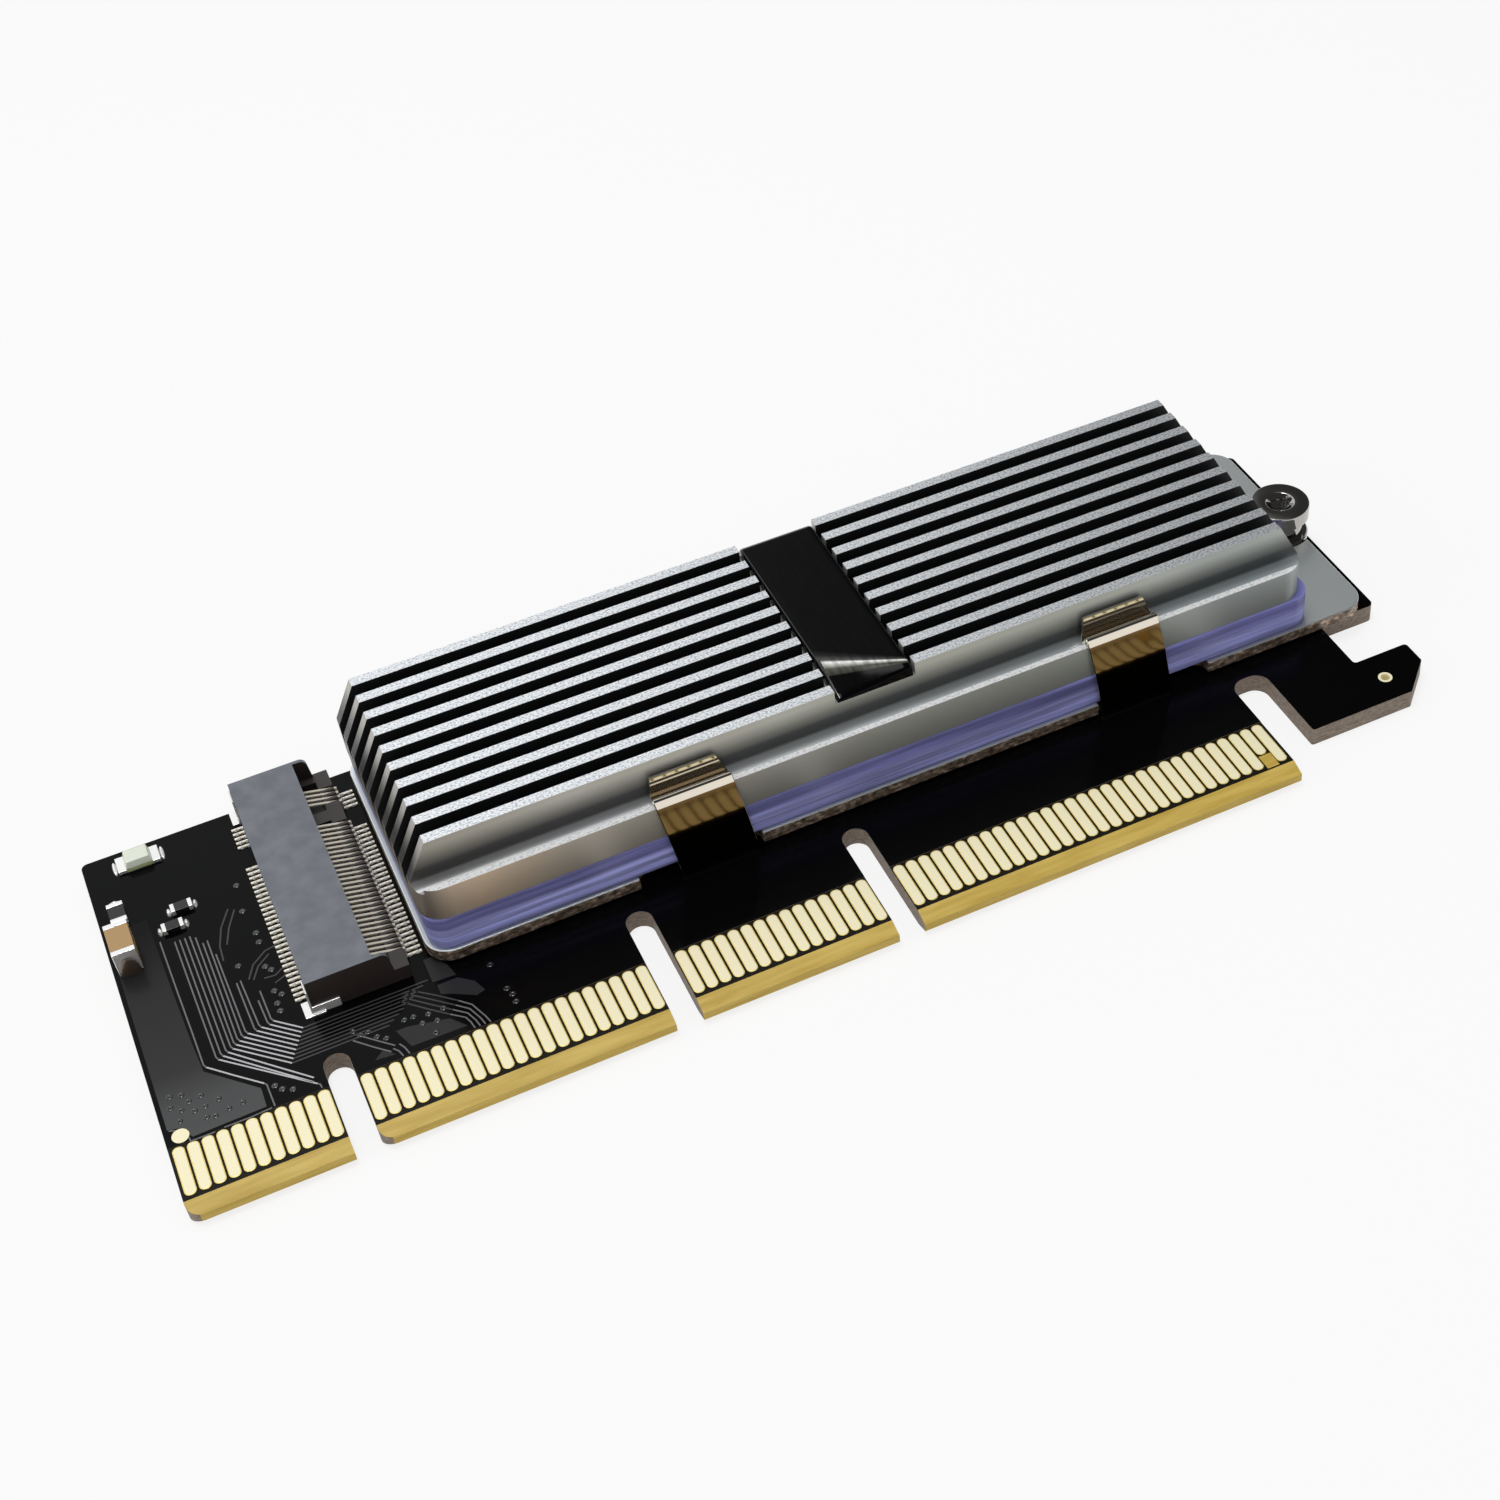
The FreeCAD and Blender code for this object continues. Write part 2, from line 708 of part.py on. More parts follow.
def round_bends(blank, leg, thick):
    """Round the two bends between web and legs, inside and outside."""
    inner = []
    outer = []
    for edge in blank.Edges:
        middle = edge.CenterOfMass
        if abs(edge.Length - size("clip_wide")) > 1e-6:
            continue
        if math.hypot(abs(middle.y) - (leg - thick / 2), middle.z - thick) < 0.01:
            inner.append(edge)
        if math.hypot(abs(middle.y) - (leg + thick / 2), middle.z) < 0.01:
            outer.append(edge)
    bent = blank.makeFillet(size("clip_bend"), inner)
    outer = [edge for edge in bent.Edges
             if abs(edge.Length - size("clip_wide")) < 1e-6
             and math.hypot(abs(edge.CenterOfMass.y) - (leg + thick / 2), edge.CenterOfMass.z) < 0.01]
    return bent.makeFillet(size("clip_bend") + thick, outer)


def base_plate():
    body = doc.addObject("PartDesign::Body", "BasePlate")
    corners = rectangle("0", "-plate_wide / 2", "plate_long", "plate_wide / 2")
    pad(body, outline(body, "PlateOutline", "XY_Plane", corners), "plate_thick")
    half = size("plate_wide") / 2
    spots = [(x, y) for x in (0, size("plate_long")) for y in (-half, half)]
    round_edges(body, "PlateRound", "plate_corner",
                lambda edge: upright(edge) and any(near(edge, *spot) for spot in spots))
    middle = "plate_long / 2 + clip_offset"
    starts = (f"{middle} - clip_spacing / 2 + clip_wide / 2 + recess_gap - recess_long",
              f"{middle} + clip_spacing / 2 - clip_wide / 2 - recess_gap")
    for number, start in enumerate(starts, start=1):
        for side in ("-", "+"):
            low = "-plate_wide / 2 - 1" if side == "-" else "plate_wide / 2 - recess_deep"
            cut_box(body, f"Recess{number}{'Near' if side == '-' else 'Far'}",
                    (start, low, "-1"), ("recess_long", "recess_deep + 1", "plate_thick + 2"))
    depth = size("plate_wide") / 2 - size("recess_deep")
    round_edges(body, "RecessRound", "recess_corner",
                lambda edge: upright(edge) and abs(abs(edge.CenterOfMass.y) - depth) < 0.01)
    mouth = "standoff_from_key - plate_from_key"
    cut_cylinder(body, "StandoffNotch", (mouth, "0", "-1"), "standoff_wide / 2 + plate_clearance",
                 "plate_thick + 2")
    place(body, KEY + " + plate_from_key", MIDDLE, STACK)
    return finish(body, "base_plate")


def thermal_pad(name, up, thick):
    body = doc.addObject("PartDesign::Body", name.title().replace("_", ""))
    corners = rectangle("0", "-pad_wide / 2", "pad_long", "pad_wide / 2")
    pad(body, outline(body, body.Name + "Outline", "XY_Plane", corners), thick)
    round_edges(body, body.Name + "Round", "pad_corner", upright)
    place(body, KEY + " + plate_from_key + pad_inset", MIDDLE, up)
    return finish(body, name)


def heatsink_cover():
    """Extruded and milled cover: base with rims and troughs, a bank of fins, sloped ends, a channel."""
    body = doc.addObject("PartDesign::Body", "HeatsinkCover")
    half = "cover_wide / 2"
    inner = half + " - rim_wide"
    bank = inner + " - trough_wide"
    foot = "trough_floor + trough_wide"
    right = [
        (half, "0"),
        (half, "rim_high"),
        (inner, "rim_high"),
        (inner, "trough_floor"),
        (bank, "trough_floor"),
        (bank, foot),
        (bank + " - fin_thick", foot),
        (bank + " - fin_thick", "groove_floor"),
    ]
    left = [("-(" + across + ")", up) for across, up in reversed(right)]
    pad(body, outline(body, "CoverSection", "YZ_Plane", right + left), "cover_long")
    round_troughs(body)
    fin = rectangle(f"-({bank})", "groove_floor - 0.2", f"-({bank}) + fin_thick", "cover_high")
    first = pad(body, outline(body, "FinSection", "YZ_Plane", fin), "cover_long")
    bank_of_fins = body.newObject("PartDesign::LinearPattern", "FinBank")
    bank_of_fins.Originals = [first]
    bank_of_fins.Direction = (origin_item(body, "Y_Axis"), [""])
    bind(bank_of_fins, Length=f"2 * ({bank}) - fin_thick", Occurrences="fin_count")
    body.Tip = bank_of_fins
    doc.recompute()
    slope_ends(body)
    low = ("cover_long / 2 - channel_long / 2", "-cover_wide / 2", "cover_high - channel_deep")
    cut_box(body, "LabelChannel", low, ("channel_long", "cover_wide", "channel_deep + 1"))
    cover = doc.addObject("Part::Common", "Cover")
    cover.Base = body
    cover.Tool = cover_plan()
    place(cover, KEY + " + plate_from_key + cover_inset", MIDDLE, COVER_LOW)
    return finish(cover, "heatsink_cover")


def cover_plan():
    """The rounded plan that the cover's four corners follow."""
    body = doc.addObject("PartDesign::Body", "CoverPlan")
    corners = rectangle("0", "-cover_wide / 2", "cover_long", "cover_wide / 2")
    pad(body, outline(body, "CoverPlanOutline", "XY_Plane", corners), "cover_high")
    round_edges(body, "CoverPlanRound", "cover_corner", upright)
    return body


def round_troughs(body):
    """Round both bottom corners of each trough: close under the rim, wide at the outer fin's foot."""
    low = size("trough_floor")
    inner = size("cover_wide") / 2 - size("rim_wide")
    bank = inner - size("trough_wide")
    for name, across, radius in (("TroughRound", inner, "trough_wide * 0.15"),
                                 ("FinFootRound", bank, "trough_wide * 0.8")):
        round_edges(body, name, radius,
                    lambda edge: abs(edge.CenterOfMass.z - low) < 0.01
                    and abs(abs(edge.CenterOfMass.y) - across) < 0.01)


def slope_ends(body):
    """Mill the ends of the fins down to the height of the rims."""
    left = [("-1", "rim_high"), ("0", "rim_high"), ("end_slope", "cover_high"),
            ("end_slope", "cover_high + 1"), ("-1", "cover_high + 1")]
    right = [("cover_long + 1", "rim_high"), ("cover_long + 1", "cover_high + 1"),
             ("cover_long - end_slope", "cover_high + 1"), ("cover_long - end_slope", "cover_high"),
             ("cover_long", "rim_high")]
    cut_through(body, outline(body, "NearSlope", "XZ_Plane", left))
    cut_through(body, outline(body, "FarSlope", "XZ_Plane", right))


def label_strip():
    """The glossy strip across the fins, its two ends bent down over the outer fins."""
    body = doc.addObject("PartDesign::Body", "LabelStrip")
    reach = "cover_wide / 2 - rim_wide - trough_wide"
    corners = rectangle("0", f"-({reach})", "label_long", reach)
    pad(body, outline(body, "LabelOutline", "XY_Plane", corners), "channel_deep")
    edge_y = size("cover_wide") / 2 - size("rim_wide") - size("trough_wide")
    round_edges(body, "LabelBend", "label_bend",
                lambda edge: abs(edge.CenterOfMass.z - size("channel_deep")) < 0.01
                and abs(abs(edge.CenterOfMass.y) - edge_y) < 0.01)
    start = KEY + " + plate_from_key + cover_inset + cover_long / 2 - label_long / 2"
    place(body, start, MIDDLE, COVER_LOW + " + cover_high - channel_deep")
    return finish(body, "label_strip")


# ---------------------------------------------------------------- standoff
def standoff():
    """A turned post with a grooved head, a threaded bore and a shank in the board."""
    body = doc.addObject("PartDesign::Body", "Standoff")
    head_low = "standoff_flange + standoff_neck"
    half = [
        ("standoff_bore / 2", "-board_thick"),
        ("standoff_shank / 2", "-board_thick"),
        ("standoff_shank / 2", "0"),
        ("standoff_wide / 2", "0"),
        ("standoff_wide / 2", "standoff_flange"),
        ("standoff_neck_wide / 2", "standoff_flange"),
        ("standoff_neck_wide / 2", head_low),
        ("standoff_wide / 2", head_low),
        ("standoff_wide / 2", "standoff_high"),
        ("standoff_mouth / 2", "standoff_high"),
        ("standoff_bore / 2", "standoff_high - (standoff_mouth - standoff_bore) / 2"),
    ]
    turned = body.newObject("PartDesign::Revolution", "Turned")
    turned.Profile = outline(body, "StandoffHalf", "XZ_Plane", half)
    turned.ReferenceAxis = (origin_item(body, "Z_Axis"), [""])
    turned.Angle = 360
    doc.recompute()
    place(body, KEY + " + standoff_from_key", MIDDLE, TOP)
    return finish(body, "standoff")


# ---------------------------------------------------------------- chip parts
class Chip:
    """A chip part's place and outer sizes, as formulas; it lies along X or along Y."""

    def __init__(self, name, across, along, sizes, lengthwise, share="terminal_share"):
        self.name = name
        self.share = share
        self.across = across
        self.along = along
        self.long, self.wide, self.high = sizes
        self.lengthwise = lengthwise

    def block(self, title, start, length, wide=None, up="0", high=None):
        """A box of the chip from a start along its length, centred across it."""
        wide = wide or self.wide
        extent = [length, wide, high or self.high]
        low = [f"{self.across} + {start}", f"{self.along} - {wide} / 2", f"{TOP} + {up}"]
        if not self.lengthwise:
            extent[0], extent[1] = extent[1], extent[0]
            low[0] = f"{self.across} - {wide} / 2"
            low[1] = f"{self.along} + {start}"
        return box(title, low, extent)


def chip_title(chip, what):
    return chip.name.title().replace("_", "") + what


def chip_body(chip):
    end = f"{chip.long} * {chip.share}"
    item = chip.block(chip_title(chip, "Body"), f"-{chip.long} / 2 + {end}", f"{chip.long} - 2 * {end}")
    return finish(item, chip.name + "_body")


def chip_terminals(chip):
    end = f"{chip.long} * {chip.share}"
    first = chip.block(chip_title(chip, "First"), f"-{chip.long} / 2", end)
    second = chip.block(chip_title(chip, "Second"), f"{chip.long} / 2 - {end}", end)
    return finish(joined(chip_title(chip, "Terminals"), [first, second]), chip.name + "_terminals")


def chip_list():
    led = Chip("status_led", f"{KEY} - led_from_key", f"{EDGE} + led_from_edge",
               ("led_long", "led_wide", "led_base"), True)
    capacitor = Chip("capacitor", f"{KEY} - capacitor_from_key", f"{EDGE} + capacitor_from_edge",
                     ("capacitor_long", "capacitor_wide", "capacitor_high"), False, "capacitor_share")
    resistor = ("resistor_long", "resistor_wide", "resistor_high")
    first = Chip("first_resistor", f"{KEY} - resistor_from_key", f"{EDGE} + resistor_from_edge",
                 resistor, True)
    second = Chip("second_resistor", f"{KEY} - resistor_from_key - resistor_step_across",
                  f"{EDGE} + resistor_from_edge - resistor_step_along", resistor, True)
    third = Chip("side_resistor", f"{KEY} - side_resistor_from_key",
                 f"{EDGE} + side_resistor_from_edge",
                 ("side_resistor_long", "side_resistor_wide", "side_resistor_high"), False)
    return led, capacitor, first, second, third


def led_lens(led):
    """The tapered clear block on the light's base."""
    lens = doc.addObject("Part::Wedge", "LedLens")
    reach = "led_lens_long / 2"
    half = "led_wide / 2"
    bind(lens, Xmin=f"-{reach}", Xmax=reach, Zmin=f"-{half}", Zmax=half, Ymin="0", Ymax="led_lens")
    bind(lens, X2min=f"-{reach} + led_lens_taper", X2max=f"{reach} - led_lens_taper",
         Z2min=f"-{half} + led_lens_taper", Z2max=f"{half} - led_lens_taper")
    lens.Placement.Rotation = FreeCAD.Rotation(FreeCAD.Vector(1, 0, 0), 90)
    place(lens, led.across, led.along, TOP + " + led_base")
    return finish(lens, "status_led_lens")


def solder_wedge(run, rise, width):
    corners = [FreeCAD.Vector(0, -width / 2, 0), FreeCAD.Vector(run, -width / 2, 0),
               FreeCAD.Vector(run * 0.3, -width / 2, rise * 0.45), FreeCAD.Vector(0, -width / 2, rise)]
    face = Part.Face(Part.makePolygon(corners + corners[:1]))
    return face.extrude(FreeCAD.Vector(0, width, 0))


def chip_solder_joints(chips):
    """The solder fillets at both ends of every chip part."""
    offsets = {
        "status_led": ("led_from_key", "led_from_edge", 0, 0),
        "capacitor": ("capacitor_from_key", "capacitor_from_edge", 0, 0),
        "first_resistor": ("resistor_from_key", "resistor_from_edge", 0, 0),
        "second_resistor": ("resistor_from_key", "resistor_from_edge",
                            size("resistor_step_across"), size("resistor_step_along")),
        "side_resistor": ("side_resistor_from_key", "side_resistor_from_edge", 0, 0),
    }
    wedges = []
    for chip in chips:
        across, along, more_across, more_along = offsets[chip.name]
        spot = FreeCAD.Vector(-size(across) - more_across, size(along) - more_along, 0)
        turn = 0 if chip.lengthwise else 90
        for extra in (0, 180):
            wedge = solder_wedge(size("solder_run"), size(chip.high) * 0.8, size(chip.wide) * 0.9)
            wedge.translate(FreeCAD.Vector(size(chip.long) / 2, 0, 0))
            wedge.rotate(FreeCAD.Vector(0, 0, 0), FreeCAD.Vector(0, 0, 1), turn + extra)
            wedge.translate(spot)
            wedges.append(wedge)
    joints = doc.addObject("Part::Feature", "SolderJoints")
    joints.Shape = Part.makeCompound(wedges)
    place(joints, KEY, EDGE, TOP)
    return finish(joints, "chip_solder_joints")


# ---------------------------------------------------------------- the whole card
def build_card():
    circuit_board()
    edge_contacts("front_edge_contacts", TOP + " - window_deep")
    edge_contacts("back_edge_contacts", "window_deep - contact_thick")
    corner_test_pad()
    hook_eyelet()
    socket_housing()
    socket_lower_contacts()
    socket_upper_contacts()
    socket_hold_down("socket_near_hold_down", -1)
    socket_hold_down("socket_far_hold_down", 1)
    spring_clip("left_clip", "-")
    spring_clip("right_clip", "+")
    base_plate()
    thermal_pad("lower_thermal_pad", PLATE_TOP, "lower_pad_thick")
    thermal_pad("upper_thermal_pad", PLATE_TOP + " + lower_pad_thick", "upper_pad_thick")
    heatsink_cover()
    label_strip()
    standoff()
    chips = chip_list()
    for chip in chips:
        chip_body(chip)
        chip_terminals(chip)
    led_lens(chips[0])
    chip_solder_joints(chips)
    doc.recompute()


def check_card():
    for item in doc.Objects:
        if "Invalid" in item.State or "Error" in item.State:
            raise RuntimeError(f"{item.Name} failed: {item.State}")
    for item in finished:
        if item.Shape.isNull() or not item.Shape.isValid() or not item.Shape.Solids:
            raise RuntimeError(f"{item.Label} has no sound shape")


build_card()
check_card()
os.makedirs("parts", exist_ok=True)
for item in finished:
    item.Shape.exportStep(f"parts/{item.Label}.step")
print(len(finished), "sub-parts written")
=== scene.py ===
"""Looks of the storage adapter card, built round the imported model.

Blender's lengths are metres. Names that end in _mm, and the numbers of outlines and profiles, are
millimetres.
"""
import bpy
import bmesh
import math
from mathutils import Matrix, Vector


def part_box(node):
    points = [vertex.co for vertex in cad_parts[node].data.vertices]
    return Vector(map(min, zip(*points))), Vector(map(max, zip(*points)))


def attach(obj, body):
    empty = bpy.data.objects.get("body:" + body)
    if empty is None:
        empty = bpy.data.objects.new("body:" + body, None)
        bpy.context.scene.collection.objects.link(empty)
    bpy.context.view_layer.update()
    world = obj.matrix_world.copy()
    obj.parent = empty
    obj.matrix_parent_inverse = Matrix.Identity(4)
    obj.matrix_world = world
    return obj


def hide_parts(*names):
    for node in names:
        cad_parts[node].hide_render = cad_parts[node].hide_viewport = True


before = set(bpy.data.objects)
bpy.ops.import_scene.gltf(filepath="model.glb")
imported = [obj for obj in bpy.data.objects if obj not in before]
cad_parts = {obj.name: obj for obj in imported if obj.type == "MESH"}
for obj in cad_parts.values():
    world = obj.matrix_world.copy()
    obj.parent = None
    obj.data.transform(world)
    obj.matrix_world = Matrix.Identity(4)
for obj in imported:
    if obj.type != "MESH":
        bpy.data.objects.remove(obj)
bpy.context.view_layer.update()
MM = 0.001
BOARD_LOW, BOARD_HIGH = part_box("circuit_board")
TOP = BOARD_HIGH[2]


# ------------------------------------------------------------------ materials
def material(name, color, rough, metal=0.0, **more):
    """A plain principled material; further keywords are inputs of its shader."""
    mat = bpy.data.materials.new(name)
    mat.use_nodes = True
    shader = mat.node_tree.nodes["Principled BSDF"]
    shader.inputs["Base Color"].default_value = (*color, 1)
    shader.inputs["Roughness"].default_value = rough
    shader.inputs["Metallic"].default_value = metal
    for key, value in more.items():
        shader.inputs[key.replace("_", " ")].default_value = value
    return mat


def coords(mat, stretch=(1, 1, 1)):
    """A spot's coordinates on the card, each multiplied by its stretch."""
    tree = mat.node_tree
    where = tree.nodes.new("ShaderNodeTexCoord")
    scale = tree.nodes.new("ShaderNodeMapping")
    scale.inputs["Scale"].default_value = stretch
    tree.links.new(where.outputs["Object"], scale.inputs["Vector"])
    return scale.outputs["Vector"]


def noise(mat, per_mm, stretch=(1, 1, 1), detail=3.0):
    """A noise of so many cells per millimetre; returns its grey output."""
    tree = mat.node_tree
    node = tree.nodes.new("ShaderNodeTexNoise")
    node.inputs["Scale"].default_value = per_mm / MM
    node.inputs["Detail"].default_value = detail
    tree.links.new(coords(mat, stretch), node.inputs["Vector"])
    return node.outputs["Fac"]


def ramp(mat, source, stops):
    """A colour that follows a grey source through stops of (grey, colour or new grey)."""
    tree = mat.node_tree
    node = tree.nodes.new("ShaderNodeValToRGB")
    tree.links.new(source, node.inputs["Fac"])
    band = node.color_ramp
    while len(band.elements) < len(stops):
        band.elements.new(0.5)
    for element, (at, value) in zip(band.elements, stops):
        element.position = at
        color = value if isinstance(value, tuple) else (value, value, value)
        element.color = (*color, 1)
    return node.outputs["Color"]


def drive(mat, socket, source):
    """Feed an input of the material's shader."""
    shader = mat.node_tree.nodes["Principled BSDF"]
    mat.node_tree.links.new(source, shader.inputs[socket])


def colour_by(mat, source, stops):
    """Let a ramp over a grey source give the base colour."""
    drive(mat, "Base Color", ramp(mat, source, stops))


def bump(mat, source, height_mm, strength=1.0):
    """Unevenness of the surface, as high as given where the source is white."""
    tree = mat.node_tree
    node = tree.nodes.new("ShaderNodeBump")
    node.inputs["Distance"].default_value = height_mm * MM
    node.inputs["Strength"].default_value = strength
    tree.links.new(source, node.inputs["Height"])
    drive(mat, "Normal", node.outputs["Normal"])


def link_math(tree, kind, first, second):
    """The output of one operation on two values, each a number or an output."""
    node = tree.nodes.new("ShaderNodeMath")
    node.operation = kind
    for socket, value in zip(node.inputs, (first, second)):
        if isinstance(value, (int, float)):
            socket.default_value = value
        else:
            tree.links.new(value, socket)
    return node.outputs[0]


def axes(tree, kind="Object"):
    """The X, Y and Z outputs of a spot's coordinates."""
    where = tree.nodes.new("ShaderNodeTexCoord")
    split = tree.nodes.new("ShaderNodeSeparateXYZ")
    tree.links.new(where.outputs[kind], split.inputs["Vector"])
    return split.outputs


def along(mat, axis, start_mm, end_mm):
    """How far along an axis of the card a spot lies, as a grey from 0 to 1."""
    tree = mat.node_tree
    node = tree.nodes.new("ShaderNodeMapRange")
    tree.links.new(axes(tree)[axis], node.inputs["Value"])
    node.inputs["From Min"].default_value = start_mm * MM
    node.inputs["From Max"].default_value = end_mm * MM
    return node.outputs["Result"]


def box_mm(node):
    """The low and high corner of a CAD node, in millimetres."""
    return [[n / MM for n in corner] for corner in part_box(node)]


def times(mat, first, second):
    """The product of two colours."""
    node = mat.node_tree.nodes.new("ShaderNodeVectorMath")
    node.operation = "MULTIPLY"
    mat.node_tree.links.new(first, node.inputs[0])
    mat.node_tree.links.new(second, node.inputs[1])
    return node.outputs["Vector"]


def make_board_materials(m):
    """Lacquer over bare laminate and over copper, cut laminate, and the gold of the edge contacts; several of
    them carry painted light and shade.
    """
    m["mask"] = material("lacquer_black", (0.0016, 0.0016, 0.0019), 0.13, Specular_IOR_Level=0.09)
    bump(m["mask"], noise(m["mask"], 0.8), 0.004, 0.3)
    # Lacquer over copper planes; one of its patches is a painted reflection.
    m["copper_mask_and_reflection"] = material("lacquer_over_copper_and_painted_reflection", (0.024, 0.024, 0.0245), 0.22, Specular_IOR_Level=0.2)
    bump(m["copper_mask_and_reflection"], noise(m["copper_mask_and_reflection"], 0.6), 0.005, 0.3)
    # Painted sheen: the corner plane's lacquer is lighter near the card's near edge and darker farther back.
    m["lit_mask"] = material("lacquer_with_painted_sheen_near_corner", (0.03, 0.03, 0.03), 0.22, Specular_IOR_Level=0.12)
    near = box_mm("circuit_board")[0][1]
    colour_by(m["lit_mask"], along(m["lit_mask"], "Y", near + 6.0, near + 26.0),
              [(0.0, (0.085, 0.086, 0.088)), (0.14, (0.075, 0.076, 0.078)), (0.30, (0.036, 0.036, 0.0365)),
               (0.7, (0.024, 0.024, 0.0245)), (1.0, (0.0018, 0.0018, 0.002))])
    m["trace"] = material("lacquer_over_trace", (0.145, 0.145, 0.15), 0.3)
    # The slanted traces are lighter as a painted highlight, the level ones darker as painted shade.
    m["trace_painted_highlight"] = material("lacquer_over_trace_painted_highlight", (0.52, 0.52, 0.54), 0.3)
    m["trace_painted_shade"] = material("lacquer_over_shaded_trace", (0.034, 0.031, 0.032), 0.3)
    m["via"] = material("lacquer_over_via", (0.008, 0.008, 0.008), 0.12, Specular_IOR_Level=0.9)
    m["edge"] = material("laminate_edge", (0.13, 0.105, 0.085), 0.6)
    colour_by(m["edge"], noise(m["edge"], 2.5, (1, 1, 3)),
              [(0.3, (0.15, 0.115, 0.088)), (0.7, (0.35, 0.275, 0.21))])
    m["bevel"] = material("laminate_bevel", (0.62, 0.42, 0.10), 0.5)
    colour_by(m["bevel"], noise(m["bevel"], 0.8, (0.25, 2.5, 2.5)),
              [(0.33, (0.52, 0.345, 0.042)), (0.66, (0.66, 0.47, 0.095))])
    # The sunk faces between the edge contacts are near black: painted shade over the bare laminate.
    m["window"] = material("bare_laminate", (0.008, 0.006, 0.003), 0.4, Specular_IOR_Level=0.15)
    # The sides of the same plating get a deeper, darker gold: painted shade along each contact's outline.
    m["gold_side"] = material("gold_plate_side_painted_shade", (0.88, 0.70, 0.22), 0.35, 0.4)
    m["gold"] = material("gold_plate", (1.0, 0.925, 0.63), 0.45, 0.1)
    bump(m["gold"], noise(m["gold"], 2.5), 0.004, 0.3)


def make_metals(m):
    """Contacts, solder, springs and sheet."""
    m["contact"] = material("contact_gold", (0.97, 0.90, 0.74), 0.3, 0.5)
    m["tin"] = material("tin", (0.95, 0.95, 0.93), 0.2, 0.6)
    bump(m["tin"], noise(m["tin"], 3.0), 0.02, 0.5)
    # A dark brown copy of the tin for the fillet in front of the capacitor: a painted reflection.
    m["dull_tin"] = material("solder_painted_reflection", (0.20, 0.15, 0.115), 0.3, 0.8)
    m["solder"] = material("contact_solder", (0.97, 0.97, 0.95), 0.25, 0.35)
    m["nickel"] = material("nickel_mirror", (0.80, 0.73, 0.62), 0.06, 1.0)
    # A dark brown copy of the nickel for the front faces of each clip's leg: a painted reflection of the
    # board and gold contacts in front of it.
    m["leg"] = material("nickel_leg", (0.22, 0.15, 0.075), 0.1, 1.0)
    m["steel"] = material("nickel_turned", (0.45, 0.435, 0.41), 0.08, 1.0)
    m["plate"] = material("plate_sheet", (0.76, 0.80, 0.79), 0.36, 0.94)
    bump(m["plate"], noise(m["plate"], 4.0), 0.01, 0.4)
    m["plate_edge"] = material("plate_cut_edge", (0.36, 0.285, 0.225), 0.46, 0.6)
    colour_by(m["plate_edge"], noise(m["plate_edge"], 2.2, (1, 1, 1.6), 5.0),
              [(0.36, (0.11, 0.078, 0.055)), (0.55, (0.33, 0.25, 0.19)), (0.68, (0.75, 0.58, 0.44))])
    bump(m["plate_edge"], noise(m["plate_edge"], 2.6, (2.5, 2.5, 1)), 0.04, 0.7)


